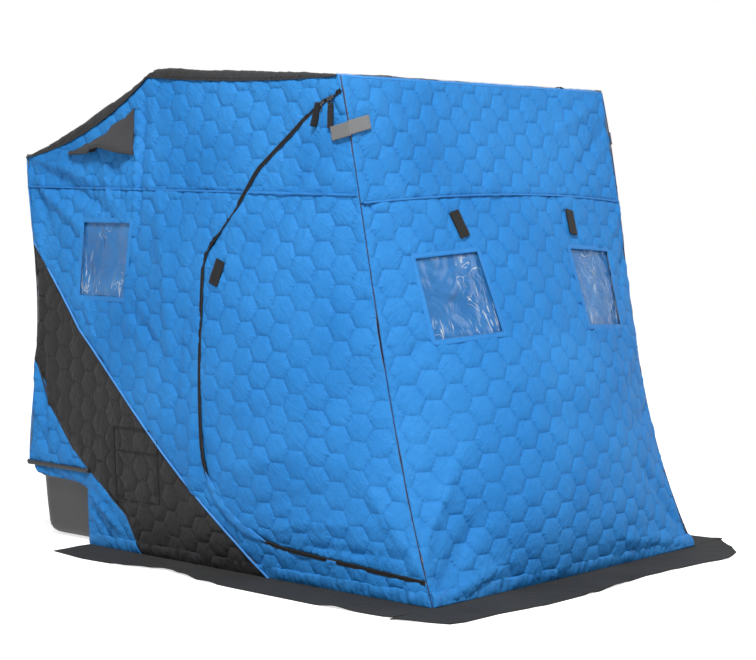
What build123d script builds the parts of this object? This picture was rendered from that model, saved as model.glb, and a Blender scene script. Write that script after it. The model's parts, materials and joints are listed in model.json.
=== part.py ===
"""Flip-over ice fishing hut: a quilted fabric tent on folding tube bows, standing on a moulded sled."""

import os
from math import atan2, cos

from build123d import *

# Every length is in millimetres. +Z is up, the front wall faces -Y and the sled lies at the back.
# A "set back" is a distance behind the line where the front wall meets the ground. A point of a
# side wall is given as (set back, height), and a point of the front wall as (x, height).

# ---- driving dimensions: the fabric envelope
base_width = 1450
top_width = 1410
front_top_set_back = 413
front_height = 1660
crest_set_back = 1300
crest_height = 1715
rear_top_set_back = 2020
rear_top_height = 1420
rear_foot_set_back = 2008
rear_foot_height = 275
roof_sag = 15
fabric = 10

# how far tension and slack move the cloth off the straight lines between its corners
corner_pull_in = 30
corner_pull_back = 57
front_fullness = 178
side_fullness = 80
rear_corner_pull_in = 55
back_fullness = 55

# ---- driving dimensions: panels, doors and windows
roof_lip_front = 32
roof_lip_crest = 12
roof_lip_rear = 34
roof_lip_crest_shift = 35
roof_lip_front_edge = 4
roof_lip_rear_edge = 45
seam_overrun = 60
front_seam_corner_height = 1248
front_seam_middle_height = 1276
side_seam_front_height = 1276
side_seam_rear_height = 1307

door_gap = 6
door_hinge_gap = 7
binding_width = 28
binding_thickness = 1.5
binding_clearance = 0.3
binding_from_corner = 2
zip_start = (401, 1610)
zip_shoulder = (520, 1556)
zip_knee = (1004, 1072)
zip_foot = (972, 195)
zip_toe = (640, 118)
zip_end = (30, 74)
zip_radii = (300, 130, 190, 600)
zip_tape_width = 9
zip_tape_thickness = 2
sill_end = 840
sill_top = 872

band_top = ((2100, 1240), (1700, 787), (714, 0))
band_low = ((2100, 930), (1880, 500), (1740, 350), (1430, 135), (1359, 0))
back_band_top = 1137
back_band_low = 730

side_window = (270, 270)
side_window_centre = (1555, 1044)
side_window_lean = 26
window_corner = 8
front_window = (275, 265)
front_window_centre = (382, 950)
front_window_tilt = 3.5
pane = 3

hem_height = 18
hem_proud = 6
foot_flap_end = 1650
foot_flap_tip = 1945
foot_flap_drop = 60
foot_flap_shoulder = (60, 44)

# ---- driving dimensions: the ground skirt, the sled and the bows
skirt_reach = 200
skirt_end = 1645
skirt_thickness = 4
skirt_corner = 60

sled_length = 952
sled_inset_rear = 8
hem_above_sled = 4
sled_wall = 6
sled_lip = 36
sled_lip_thickness = 8
sled_draft = 8
sled_corner = 90
sled_foot_radius = 36

tube = 25
tube_wall = 2
bow_bend = 70
seat_clearance = 0.4
bow_to_cloth = 2.5
pivot_set_backs = (1430, 1500, 1570)
pivot_above_sled = 56
bracket_length = 240
bracket_height = 96
bracket_thickness = 6
bracket_from_edge = 18

# ---- driving dimensions: small pieces
tab = (46, 88)
tab_thickness = 3
front_tab_centre = (305, 1178)
front_tab_tilt = 12
door_tab_centre = (924, 1015)
door_tab_tilt = 20
patch_height = 46
patch_reach = 85
patch_level = 1498
patch_thickness = 1.5
pull = (24, 82)
pull_thickness = 3
pull_centres = ((446, 1530), (503, 1506))
pull_tilts = (0, 16)
vent_top = (1402, 1578)
vent_rear = (1771, 1418)
vent_nose_set_back = 1475
vent_reach = 60
vent_hollow = 0.86
vent_root = 30

# ---- values worked out from them
length = skirt_reach + rear_top_set_back
front_y = skirt_reach - length / 2
beyond = 2600
before = -300
behind = rear_top_set_back + 280
overhead = crest_height + 185
hem_low = rear_foot_height - hem_height / 2
hem_top = rear_foot_height + hem_height / 2
sled_height = hem_low - hem_above_sled
sled_rear_set_back = rear_foot_set_back - sled_inset_rear
pivot_height = sled_height + pivot_above_sled
side_plane = Plane(origin=(0, front_y, 0), x_dir=(0, 1, 0), z_dir=(1, 0, 0))
front_plane = Plane(origin=(0, front_y, 0), x_dir=(1, 0, 0), z_dir=(0, -1, 0))


# ---- the shape of the stretched cloth
def swell(share):
    """0 at the start, 1 a third of the way along and 0 at the end: cloth that stands off its chord."""
    return 27 / 4 * share * (1 - share) ** 2


def waist(share):
    """0 with no slope at both ends and 1 half way: cloth drawn off its chord between firm corners."""
    return 16 * share**2 * (1 - share) ** 2 if 0 < share < 1 else 0


def chord_x(z):
    return (base_width + (top_width - base_width) * z / front_height) / 2


sled_width = 2 * (chord_x(sled_height) - fabric)


def corner_x(z):
    return chord_x(z) - corner_pull_in * swell(z / front_height)


def corner_set_back(z):
    share = z / front_height
    return front_top_set_back * share + corner_pull_back * swell(share)


def rear_share(z):
    return (z - rear_foot_height) / (rear_top_height - rear_foot_height)


def rear_corner_set_back(z):
    chord = rear_foot_set_back + (rear_top_set_back - rear_foot_set_back) * rear_share(z)
    return chord - rear_corner_pull_in * waist(rear_share(z))


def front_set_back(x, z):
    """Outer face of the front wall: drawn in at the corners and standing full between them."""
    across = 1 - (x / corner_x(z)) ** 2
    return corner_set_back(z) - front_fullness * swell(z / front_height) * across


def back_set_back(x, z):
    """Outer face of the back wall."""
    across = 1 - (x / corner_x(z)) ** 2
    return rear_corner_set_back(z) + back_fullness * waist(rear_share(z)) * across


def side_x(set_back, z):
    """Outer face of a side wall, as a distance from the middle plane."""
    along = (set_back - corner_set_back(z)) / (rear_corner_set_back(z) - corner_set_back(z))
    fullness = side_fullness * swell(along) - corner_pull_in * (1 - along) ** 4
    return chord_x(z) + swell(z / front_height) * fullness


def roof_height(set_back):
    """Top of the roof: level in front of the crest, then falling with a slight sag."""
    if set_back < crest_set_back:
        rise = (crest_height - front_height) / (crest_set_back - front_top_set_back)
        return front_height + rise * (set_back - front_top_set_back)
    share = (set_back - crest_set_back) / (rear_top_set_back - crest_set_back)
    return crest_height - (crest_height - rear_top_height) * share - 4 * roof_sag * share * (1 - share)


# ---- the smooth faces and the solids that they bound
def steps(first, last, count):
    return [first + (last - first) * i / (count - 1) for i in range(count)]


def sheet(point, across, up):
    """A smooth face through point(a, b) for each a of across and each b of up."""
    return Face.make_surface_from_array_of_points([[Vector(*point(a, b)) for b in up] for a in across])


grid_margin = 20
half_span = base_width / 2 + skirt_reach + grid_margin
levels = steps(-3 * grid_margin, crest_height + 6 * grid_margin, 21)
widths = steps(-half_span, half_span, 17)
set_backs = steps(before + 2 * grid_margin, behind - 5 * grid_margin, 23)
front_sheet = sheet(lambda x, z: (x, front_y + front_set_back(x, z), z), widths, levels)
back_sheet = sheet(lambda x, z: (x, front_y + back_set_back(x, z), z), widths, levels)
left_sheet = sheet(lambda y, z: (-side_x(y, z), front_y + y, z), set_backs, levels)


def front_layer(start, thickness):
    """The layer from start to start + thickness behind the front wall's outer face."""
    return Solid.extrude(front_sheet.moved(Location((0, start, 0))), Vector(0, thickness, 0))


def back_layer(start, thickness):
    """The layer from start to start + thickness in front of the back wall's outer face."""
    return Solid.extrude(back_sheet.moved(Location((0, -start, 0))), Vector(0, -thickness, 0))


def left_layer(start, thickness):
    """The layer from start to start + thickness inside the left wall's outer face."""
    return Solid.extrude(left_sheet.moved(Location((start, 0, 0))), Vector(thickness, 0, 0))


def common(first, *others):
    shape = first
    for other in others:
        shape = shape & other
    return Part() + shape.solids()


def mirrored(shape):
    return mirror(shape, about=Plane.YZ)


def between_sides(start):
    layer = left_layer(start, beyond)
    return layer & mirrored(layer)


between_ends = front_layer(fabric, beyond) & back_layer(fabric, beyond)


# ---- outlines
def side_prism(outline):
    """A closed outline of (set back, height), swept outward over the left half of the hut."""
    return extrude(make_face(side_plane * outline), amount=beyond / 2, dir=(-1, 0, 0))


def wide_prism(outline):
    """The same, swept across the whole width."""
    return extrude(make_face(side_plane * outline), amount=beyond / 2, both=True)


def front_prism(outline):
    """A closed outline of (x, height), swept from well before to well behind the front wall."""
    return extrude(make_face(front_plane * outline), amount=beyond / 4, both=True)


def front_sketch_prism(sketch):
    return extrude(front_plane * sketch, amount=beyond / 4, both=True)


def closed(curve, *corners):
    """A curve with its ends joined through the corners, from its last point to its first."""
    return Curve() + [curve, Polyline(curve @ 1, *corners, curve @ 0)]


def roof_curve(lowered):
    """The roof's top line in side view, moved down, from before the front to behind the back."""
    middle = (crest_set_back + rear_top_set_back) / 2
    crest = (crest_set_back, crest_height - lowered)
    rear = (rear_top_set_back, rear_top_height - lowered)
    front = Line((before, roof_height(before) - lowered), crest)
    slope = ThreePointArc(crest, (middle, roof_height(middle) - lowered), rear)
    past_rear = Line(rear, (behind, rear[1] - 100))
    return Curve() + [front, slope, past_rear]


def roof_seam():
    """Where the dark roof is sewn to the side wall: it hangs between the front, the crest and the rear."""
    top = crest_set_back + roof_lip_crest_shift
    crest = (top, roof_height(top) - roof_lip_crest)
    front_middle = (crest_set_back + front_top_set_back) / 2
    rear_middle = (crest_set_back + rear_top_set_back) / 2
    front = (front_top_set_back - seam_overrun, front_height - roof_lip_front_edge)
    rear = (rear_top_set_back + seam_overrun, rear_top_height - roof_lip_rear_edge)
    return Curve() + [
        ThreePointArc(front, (front_middle, roof_height(front_middle) - roof_lip_front), crest),
        ThreePointArc(crest, (rear_middle, roof_height(rear_middle) - roof_lip_rear), rear),
    ]


def zip_curve(outward):
    """The door's zip line, moved away from the door. Every bend turns the same way."""
    slope = (zip_start[1] - zip_shoulder[1]) / (zip_shoulder[0] - zip_start[0])
    first = (before, zip_start[1] + slope * (zip_start[0] - before))
    slope = (zip_toe[1] - zip_end[1]) / (zip_toe[0] - zip_end[0])
    last = (before, zip_end[1] - slope * (zip_end[0] - before))
    corners = [Vector(*p) for p in (first, zip_shoulder, zip_knee, zip_foot, zip_toe, last)]
    ways = [(b - a).normalized() for a, b in zip(corners, corners[1:])]
    normals = [Vector(-way.Y, way.X) for way in ways]
    moved = [corners[0] + normals[0] * outward]
    for corner, entering, leaving in zip(corners[1:-1], normals, normals[1:]):
        moved.append(corner + (entering + leaving) * (outward / (1 + entering.dot(leaving))))
    moved.append(corners[-1] + normals[-1] * outward)
    return FilletPolyline(*moved, radius=[radius + outward for radius in zip_radii])


def zip_prism(outward):
    """The doorway, grown by outward past the zip line."""
    curve = zip_curve(outward)
    return side_prism(closed(curve))


def side_seam_height(set_back):
    slope = (side_seam_rear_height - side_seam_front_height) / (rear_top_set_back - corner_set_back(1276))
    return side_seam_front_height + slope * (set_back - corner_set_back(1276))


under_roof = wide_prism(closed(roof_curve(0), (behind, 0), (before, 0)))
under_roof_cloth = wide_prism(closed(roof_curve(fabric), (behind, 0), (before, 0)))
under_roof_seam = side_prism(
    closed(
        roof_seam(),
        (rear_top_set_back + seam_overrun, 0),
        (before, 0),
        (before, front_height - roof_lip_front_edge),
    )
)
above_side_seam = side_prism(
    Polyline(
        (before, side_seam_height(before)),
        (behind, side_seam_height(behind)),
        (behind, overhead),
        (before, overhead),
        close=True,
    )
)


def above_line(line):
    return side_prism(closed(Polyline(*line), (before, 0), (before, overhead), (line[0][0], overhead)))


above_band = above_line(band_top)
above_band_low = above_line(band_low)


def level_slab(low, high):
    """Everything between two heights."""
    return Pos(0, 0, (low + high) / 2) * Box(beyond, 2 * beyond, high - low)


# ---- roof and walls
def roof_panel(start, end):
    """A dark roof panel with the lips that turn down over both side walls."""
    within = Pos(0, front_y + (start + end) / 2, 0) * Box(beyond, end - start, 2 * beyond)
    top = common(under_roof, between_sides(0), between_ends, within)
    top = top - under_roof_cloth
    lip = common(left_layer(0, fabric), under_roof_cloth, between_ends, within) - under_roof_seam
    return top + lip + mirrored(lip)


def front_wall():
    """Upper and lower front panels, sewn together along a slightly arched seam."""
    wall = common(front_layer(0, fabric), between_sides(0), under_roof)
    seam = ThreePointArc(
        (-base_width / 2, front_seam_corner_height),
        (0, front_seam_middle_height),
        (base_width / 2, front_seam_corner_height),
    )
    corners = [
        (base_width, front_seam_corner_height),
        (base_width, -fabric),
        (-base_width, -fabric),
        (-base_width, front_seam_corner_height),
    ]
    below = front_prism(closed(seam, *corners))
    return wall - below, wall & below


def front_window_shape(side):
    x, z = front_window_centre
    outline = RectangleRounded(*front_window, window_corner)
    return Pos(side * x, z) * Rot(0, 0, -side * front_window_tilt) * outline


def side_window_prism():
    width, height = side_window
    y, z = side_window_centre
    lean = side_window_lean / 2
    return side_prism(
        Polyline(
            (y - width / 2 + lean, z - height / 2),
            (y + width / 2 + lean, z - height / 2),
            (y + width / 2 - lean, z + height / 2),
            (y - width / 2 - lean, z + height / 2),
            close=True,
        )
    )


def side_panels():
    """The left wall's fixed panels round the doorway, from the roof seam to the ground."""
    wall = common(left_layer(0, fabric), between_ends, under_roof_seam, under_roof_cloth)
    wall = wall - zip_prism(door_gap / 2)
    upper = common(wall, above_side_seam)
    below = wall - above_side_seam
    blue = common(below, above_band)
    to_sill = Pos(0, front_y + sill_end - beyond / 2, 0) * Box(beyond, beyond, 2 * sill_top)
    rear = below - above_band_low
    shoulder_back, shoulder_drop = foot_flap_shoulder
    flap = side_prism(
        Polyline(
            (crest_set_back, hem_low),
            (foot_flap_tip, hem_low),
            (foot_flap_end + shoulder_back, hem_low - shoulder_drop),
            (foot_flap_end, hem_low - foot_flap_drop),
            (foot_flap_end, 0),
            (crest_set_back, 0),
            close=True,
        )
    )
    return {
        "wall_upper": upper,
        "wall_main": blue - to_sill - side_window_prism(),
        "door_sill": blue & to_sill,
        "wall_band": (below & above_band_low) - above_band,
        "wall_corner": rear & level_slab(hem_top, overhead),
        "wall_foot": common(rear, flap),
    }


def door():
    """The quilted door: free along its zip and bound to the front wall at the corner.

    The binding lies over the wall's edge with a clearance, so that it swings out with the door.
    """
    doorway = zip_prism(-door_gap / 2)
    front_edge = fabric + door_hinge_gap
    panel = common(left_layer(0, fabric), front_layer(front_edge, beyond), doorway)
    proud = binding_clearance + binding_thickness
    start = binding_from_corner
    over_wall = left_layer(-proud, binding_thickness) & front_layer(start, binding_width - start)
    over_door = left_layer(-proud, proud) & front_layer(front_edge, binding_width - front_edge)
    return panel + common(over_wall, doorway) + common(over_door, doorway)


def zip_half(inner, outer, keep):
    """One tape of the zip, on the outer face of the cloth."""
    tape = left_layer(-zip_tape_thickness, zip_tape_thickness) & (zip_prism(outer) - zip_prism(inner))
    return common(tape, keep)


def side_rectangle(centre, size, tilt):
    sketch = side_plane * Pos(*centre) * Rot(0, 0, tilt) * Rectangle(*size)
    return extrude(sketch, amount=beyond / 2, dir=(-1, 0, 0))


def door_zip():
    """The door's tape and the two webbing pulls that hang on its sliders."""
    behind_binding = front_layer(binding_width, beyond) & level_slab(0, front_height)
    pieces = zip_half(-door_gap / 2 - zip_tape_width, -door_gap / 2, behind_binding)
    for centre, tilt in zip(pull_centres, pull_tilts):
        pieces += common(left_layer(-pull_thickness, pull_thickness), side_rectangle(centre, pull, tilt))
    return pieces


def vent_hood():
    """A hollow hood over the vent, open below: two cloth faces meeting at a nose that stands out."""
    wall_x = -chord_x(vent_rear[1]) + vent_root
    nose_x = -chord_x(vent_rear[1]) - vent_reach
    top = Vector(wall_x, front_y + vent_top[0], vent_top[1])
    front = Vector(wall_x, front_y + vent_top[0], vent_rear[1])
    rear = Vector(wall_x, front_y + vent_rear[0], vent_rear[1])
    nose = Vector(nose_x, front_y + vent_nose_set_back, vent_rear[1])
    middle = (front + rear) / 2

    def four_sided(share):
        a, b, c, d = [middle + (corner - middle) * share for corner in (top, front, rear, nose)]
        sides = [(a, b, c), (a, b, d), (b, c, d), (a, c, d)]
        return Solid(Shell([Face(Wire.make_polygon(side, close=True)) for side in sides]))

    return common(four_sided(1) - four_sided(vent_hollow)) - between_sides(0)


# ---- hem, skirt, sled and bows
def hem():
    """The stiff edging that grips the sled's lip along the sides and across the back."""
    belt = level_slab(hem_low, hem_top)
    side = left_layer(-hem_proud, fabric + hem_proud) & belt & back_layer(-hem_proud, beyond)
    side = common(side) - above_band_low
    back = common(back_layer(-hem_proud, fabric + hem_proud), belt, between_sides(-hem_proud))
    return back + side + mirrored(side)


def skirt():
    """The flap that lies on the ice round the front and the sides, for snow to be heaped on."""
    wide = base_width + 2 * skirt_reach
    depth = skirt_end + skirt_reach
    sheet_shape = Pos(0, front_y + skirt_end - depth / 2) * RectangleRounded(wide, depth, skirt_corner)
    square_end = Pos(0, front_y + skirt_end / 2) * Rectangle(wide, skirt_end)
    flap = extrude(sheet_shape + square_end, amount=skirt_thickness)
    back_of_front = front_layer(0, beyond)
    sides = ((flap & back_of_front) - between_sides(0)).solids().sort_by(Axis.X)
    return flap - back_of_front, sides[0], sides[-1]


def sled():
    """A moulded tub with drafted walls, rounded edges and a lip all round."""
    middle_y = front_y + sled_rear_set_back - sled_length / 2
    rim = Pos(0, middle_y, sled_height)

    def tub(inset, depth, foot_radius):
        wide = sled_width - 2 * sled_lip - 2 * inset
        deep = sled_length - 2 * sled_lip - 2 * inset
        outline = RectangleRounded(wide, deep, sled_corner - inset)
        body = extrude(rim * outline, amount=-depth, taper=sled_draft)
        return fillet(body.faces().sort_by(Axis.Z)[0].edges(), foot_radius)

    lip = extrude(rim * RectangleRounded(sled_width, sled_length, sled_corner), amount=-sled_lip_thickness)
    hollow = tub(sled_wall, sled_height - sled_wall, sled_foot_radius - sled_wall)
    return tub(0, sled_height, sled_foot_radius) + lip - hollow


bracket_x = sled_width / 2 - bracket_from_edge
leg_x = bracket_x - bracket_thickness - seat_clearance - tube / 2


def bracket():
    """The steel plate on the sled's lip that the three bows swing on."""
    y = front_y + sum(pivot_set_backs) / len(pivot_set_backs)
    z = sled_height + bracket_height / 2
    plate = Box(bracket_thickness, bracket_length, bracket_height)
    return Pos(-bracket_x + bracket_thickness / 2, y, z) * plate


def bow(pivot, top_set_back, top_height):
    """A bent tube: up from one side of the sled, across under the roof and down to the other."""
    top_x = top_width / 2 - fabric - tube / 2 - bow_to_cloth
    half = [(leg_x, front_y + pivot, pivot_height), (top_x, front_y + top_set_back, top_height)]
    route = half + [(-x, y, z) for x, y, z in reversed(half)]
    path = FilletPolyline(*route, radius=bow_bend)
    start = Plane(origin=path @ 0, z_dir=path % 0)
    solid = sweep(start * Circle(tube / 2), path=path)
    return solid - sweep(start * Circle(tube / 2 - tube_wall), path=path)


def bows():
    """The bows' crossbars lie just under the roof at its front edge, its crest and its rear edge."""
    reach = tube / 2 + seat_clearance
    lean = atan2(front_top_set_back, front_height)
    front_top = front_height - fabric - reach - 1
    front = corner_set_back(front_top) + fabric + reach / cos(lean) + 1
    fall = atan2(crest_height - rear_top_height + 4 * roof_sag, rear_top_set_back - crest_set_back)
    middle_top = crest_height - fabric - reach / cos(fall)
    rear = rear_top_set_back - fabric - reach - 1
    rear_top = roof_height(rear) - fabric - reach / cos(fall)
    tops = ((front, front_top), (crest_set_back, middle_top), (rear, rear_top))
    return [bow(pivot, *top) for pivot, top in zip(pivot_set_backs, tops)]


# ---- build every piece
parts = {}
parts["sled"] = sled()
parts["sled_hem"] = hem()
parts["left_bracket"] = bracket()
parts["right_bracket"] = mirrored(bracket())
parts["front_bow"], parts["middle_bow"], parts["rear_bow"] = bows()
parts["roof_front_panel"] = roof_panel(before, crest_set_back)
parts["roof_rear_panel"] = roof_panel(crest_set_back, behind)

upper, lower = front_wall()
windows = {"left": front_window_shape(-1), "right": front_window_shape(1)}
parts["front_wall_upper"] = upper
for name, shape in windows.items():
    lower = lower - front_sketch_prism(shape)
    glass = front_layer((fabric - pane) / 2, pane) & front_sketch_prism(shape)
    parts[f"front_{name}_window"] = glass
parts["front_wall_lower"] = lower

tab_layer = front_layer(-tab_thickness, tab_thickness)
patch_x = corner_x(patch_level) - patch_reach / 2
patch_space = front_layer(-patch_thickness, patch_thickness) & between_sides(0)
parts["front_tabs"] = Part()
parts["corner_patches"] = Part()
for side in (-1, 1):
    x, z = front_tab_centre
    tab_shape = Pos(side * x, z) * Rot(0, 0, side * front_tab_tilt) * Rectangle(*tab)
    parts["front_tabs"] += tab_layer & front_sketch_prism(tab_shape)
    patch_shape = Pos(side * patch_x, patch_level) * Rectangle(patch_reach + 40, patch_height)
    parts["corner_patches"] += patch_space & front_sketch_prism(patch_shape)

back_wall = common(back_layer(0, fabric), between_sides(0), under_roof)
parts["back_wall_upper"] = back_wall & level_slab(back_band_top, overhead)
parts["back_wall_band"] = back_wall & level_slab(back_band_low, back_band_top)
parts["back_wall_lower"] = back_wall & level_slab(hem_top, back_band_low)

left = side_panels()
left["window"] = left_layer((fabric - pane) / 2, pane) & side_window_prism()
left["vent_hood"] = vent_hood()
wall_side = front_layer(0, beyond) & under_roof
left["wall_zip"] = zip_half(door_gap / 2, door_gap / 2 + zip_tape_width, wall_side)
left["door"] = door()
left["door_zip"] = door_zip()
side_tab = side_rectangle(door_tab_centre, tab, door_tab_tilt)
left["door_tab"] = left_layer(-tab_thickness, tab_thickness) & side_tab
for name, shape in left.items():
    parts[f"left_{name}"] = shape
    parts[f"right_{name}"] = mirrored(shape)
parts["front_skirt"], parts["left_skirt"], parts["right_skirt"] = skirt()

os.makedirs("parts", exist_ok=True)
for name, shape in parts.items():
    export_step(Part() + shape.solids(), f"parts/{name}.step")
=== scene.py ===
"""The looks of a flip-over ice fishing hut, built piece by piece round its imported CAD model."""

import math

import bmesh
import bpy
import numpy as np
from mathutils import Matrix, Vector, noise
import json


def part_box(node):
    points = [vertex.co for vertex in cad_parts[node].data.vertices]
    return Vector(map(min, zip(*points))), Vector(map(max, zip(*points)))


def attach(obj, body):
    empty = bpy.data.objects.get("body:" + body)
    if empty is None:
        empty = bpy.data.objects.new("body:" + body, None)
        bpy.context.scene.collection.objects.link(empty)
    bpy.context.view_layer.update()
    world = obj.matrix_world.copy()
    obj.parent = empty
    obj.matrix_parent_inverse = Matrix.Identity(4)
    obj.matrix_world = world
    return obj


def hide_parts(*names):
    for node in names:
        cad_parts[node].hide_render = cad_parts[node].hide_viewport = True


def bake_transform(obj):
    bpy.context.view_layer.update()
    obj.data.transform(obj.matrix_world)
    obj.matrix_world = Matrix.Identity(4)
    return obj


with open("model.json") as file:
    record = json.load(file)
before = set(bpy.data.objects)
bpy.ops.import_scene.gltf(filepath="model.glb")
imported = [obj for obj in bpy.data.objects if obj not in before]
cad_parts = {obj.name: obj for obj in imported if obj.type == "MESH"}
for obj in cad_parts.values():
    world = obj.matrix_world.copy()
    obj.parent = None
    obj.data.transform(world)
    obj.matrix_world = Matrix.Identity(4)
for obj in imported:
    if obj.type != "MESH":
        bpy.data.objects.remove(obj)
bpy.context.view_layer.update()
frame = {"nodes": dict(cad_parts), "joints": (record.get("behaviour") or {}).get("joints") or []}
scene = bpy.context.scene
# noise_vector draws its offsets from this seed, and without one they change from run to run.
noise.seed_set(1)

# ---------------------------------------------------------------- the studio
# A pale floor under an even white sky, one wide soft lamp over the camera's left shoulder and a
# weaker one from the right. The camera stands at a person's eye height off the front left corner.
WHITE = (1, 1, 1, 1)
FLOOR_REACH = 40
SKY_LIGHT, SKY_SEEN = 0.36, 1.0
FLOOR_GLOW = 0.72
scene.view_settings.view_transform = "Standard"
camera = bpy.data.objects.new("camera", bpy.data.cameras.new("camera"))
camera.location = (-5.2326, -4.7855, 1.2796)
camera.rotation_euler = [math.radians(turn) for turn in (90 - 3.995, -0.02, -47.662)]
camera.data.lens = 92.9
scene.collection.objects.link(camera)
scene.camera = camera


class Wire:
    """A node's output. Sums of wires are written like sums of numbers, and make the nodes for them."""

    def __init__(self, tree, socket):
        self.tree, self.socket = tree, socket

    def done(self, operation, *others):
        """The result of one math node."""
        return wire(self.tree, "ShaderNodeMath", dict(enumerate((self, *others))), operation=operation)

    def vector(self, operation, other):
        """The result of one vector math node."""
        return wire(self.tree, "ShaderNodeVectorMath", {0: self, 1: other}, operation=operation)

    def scaled(self, by):
        """A vector times a number."""
        return wire(self.tree, "ShaderNodeVectorMath", {0: self, "Scale": by}, operation="SCALE")

    def clamped(self):
        """The same value, kept between 0 and 1 by the node that makes it."""
        self.socket.node.use_clamp = True
        return self

    def __add__(self, other):
        return self.done("ADD", other)

    def __sub__(self, other):
        return self.done("SUBTRACT", other)

    def __rsub__(self, other):
        return wire(self.tree, "ShaderNodeMath", {0: other, 1: self}, operation="SUBTRACT")

    def __mul__(self, other):
        return self.done("MULTIPLY", other)

    def __truediv__(self, other):
        return self.done("DIVIDE", other)

    def __pow__(self, other):
        return self.done("POWER", other)

    def __abs__(self):
        return self.done("ABSOLUTE")


def fill(inputs, values):
    """Set a node's inputs to values, or join them to wires."""
    for key, value in values.items():
        if isinstance(value, Wire):
            value.tree.links.new(value.socket, inputs[key])
        else:
            inputs[key].default_value = value


def node(tree, kind, inputs=None, **settings):
    """A new node of that kind, with its settings and its inputs."""
    made = tree.nodes.new(kind)
    for key, value in settings.items():
        setattr(made, key, value)
    fill(made.inputs, inputs or {})
    return made


def wire(tree, kind, inputs=None, output=0, **settings):
    """One output of a new node."""
    return Wire(tree, node(tree, kind, inputs, **settings).outputs[output])


def outputs(tree, kind, inputs=None, **settings):
    """All outputs of a new node, by name."""
    return {socket.name: Wire(tree, socket) for socket in node(tree, kind, inputs, **settings).outputs}


def new_material(name):
    """A new material, its node tree and the inputs of its shader."""
    made = bpy.data.materials.new(name)
    made.use_nodes = True
    return made, made.node_tree, made.node_tree.nodes["Principled BSDF"].inputs


def object_of(name, mesh, material=None):
    """A mesh as an object in the scene."""
    if material:
        mesh.materials.append(material)
    made = bpy.data.objects.new(name, mesh)
    scene.collection.objects.link(made)
    return made


def shown_white(tree, lit, strength):
    """A light level that is lit for the object and strength for what a camera, mirror or pane sees."""
    path = outputs(tree, "ShaderNodeLightPath")
    seen = path["Is Camera Ray"].done("MAXIMUM", path["Is Glossy Ray"])
    return seen.done("MAXIMUM", path["Is Transmission Ray"]) * (strength - lit) + lit


scene.world = bpy.data.worlds.new("even_sky")
scene.world.use_nodes = True
sky = scene.world.node_tree
fill(sky.nodes["Background"].inputs, {"Color": WHITE, "Strength": shown_white(sky, SKY_LIGHT, SKY_SEEN)})


def lamp(name, place, aim, power, size):
    """A square soft lamp turned towards a point."""
    made = bpy.data.objects.new(name, bpy.data.lights.new(name, "AREA"))
    made.data.energy = power
    made.data.size = size
    made.location = place
    made.rotation_euler = (Vector(aim) - Vector(place)).to_track_quat("-Z", "Y").to_euler()
    scene.collection.objects.link(made)


lamp("key_lamp", (-4.6, -3.4, 7.0), (0, 0, 0.8), 700, 1.8)
lamp("fill_lamp", (4.6, -4.6, 3.4), (0, 0, 0.8), 90, 3.2)
floor_paint, paint, coat = new_material("floor_paint")
fill(coat, {"Base Color": (0.82, 0.82, 0.82, 1), "Roughness": 0.9, "Specular IOR Level": 0.1})
fill(coat, {"Emission Color": WHITE, "Emission Strength": shown_white(paint, 0.0, FLOOR_GLOW)})
floor_mesh = bpy.data.meshes.new("floor")
floor_corners = [(x * FLOOR_REACH, y * FLOOR_REACH, 0) for x, y in ((-1, -1), (1, -1), (1, 1), (-1, 1))]
floor_mesh.from_pydata(floor_corners, [], [(0, 1, 2, 3)])
object_of("floor", floor_mesh, floor_paint)

# ---------------------------------------------------------------- the stretched cloth of the front wall
# The front wall is one sheet of blue oxford cloth, wadded and quilted in flat-topped hexagons, with
# a grey lining behind. It is sewn to the doors at both corners, where the pull of the bows draws it
# in, and stands full between them. A point of it is given by x and height.
FRONT_Y = frame["joints"][0]["pos_m"][1]
FRONT_HEIGHT = 1.660
HALF_FOOT = 0.725
CORNER_LEAN = 0.020


def swell(share):
    """A rise from 0 and back over a share from 0 to 1, fullest at a third."""
    return 27 / 4 * share * (1 - share) ** 2


def waist(share):
    """A rise from 0 and back over a share from 0 to 1, level at both ends."""
    return np.where((share > 0) & (share < 1), 16 * share**2 * (1 - share) ** 2, 0)


def straight_x(z):
    """Half the hut's width at a height, between straight corners."""
    return HALF_FOOT - CORNER_LEAN * z / FRONT_HEIGHT


def corner_x(z):
    return straight_x(z) - 0.030 * swell(z / FRONT_HEIGHT)


def corner_back(z):
    """How far the front corner is set back behind the line where the front wall meets the ice."""
    return 0.413 * z / FRONT_HEIGHT + 0.057 * swell(z / FRONT_HEIGHT)


def front_at(x, z):
    full = 0.178 * swell(z / FRONT_HEIGHT) * (1 - (x / corner_x(z)) ** 2)
    return np.stack([x, FRONT_Y + corner_back(z) - full, z], -1)


HEX_HIGH = 0.090
HEX_RINGS = (0.50, 0.80, 0.92, 0.975, 1.0)
HEX_POINTS = 24


def hex_border(angle):
    """How far a flat-topped hexagon reaches at an angle from its centre."""
    return HEX_HIGH / 2 / np.cos(angle % (np.pi / 3) - np.pi / 6)


def hex_centres(flat):
    """The centre of the hexagon that each flat point lies in, and how deep inside it the point is."""
    column = HEX_HIGH * math.sqrt(3) / 2
    best, found = np.full(len(flat), 9.0), np.zeros_like(flat)
    near = np.round(flat[:, 0] / column)
    for step in (-1, 0, 1):
        across = near + step
        lift = (across % 2) * HEX_HIGH / 2
        up = np.round((flat[:, 1] - lift) / HEX_HIGH) * HEX_HIGH + lift
        centre = np.stack([across * column, up], -1)
        x, y = np.abs(flat - centre).T
        apart = np.maximum(y, x * math.sqrt(3) / 2 + y / 2)
        closer = apart < best
        best[closer], found[closer] = apart[closer], centre[closer]
    return found, HEX_HIGH / 2 - best


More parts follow.
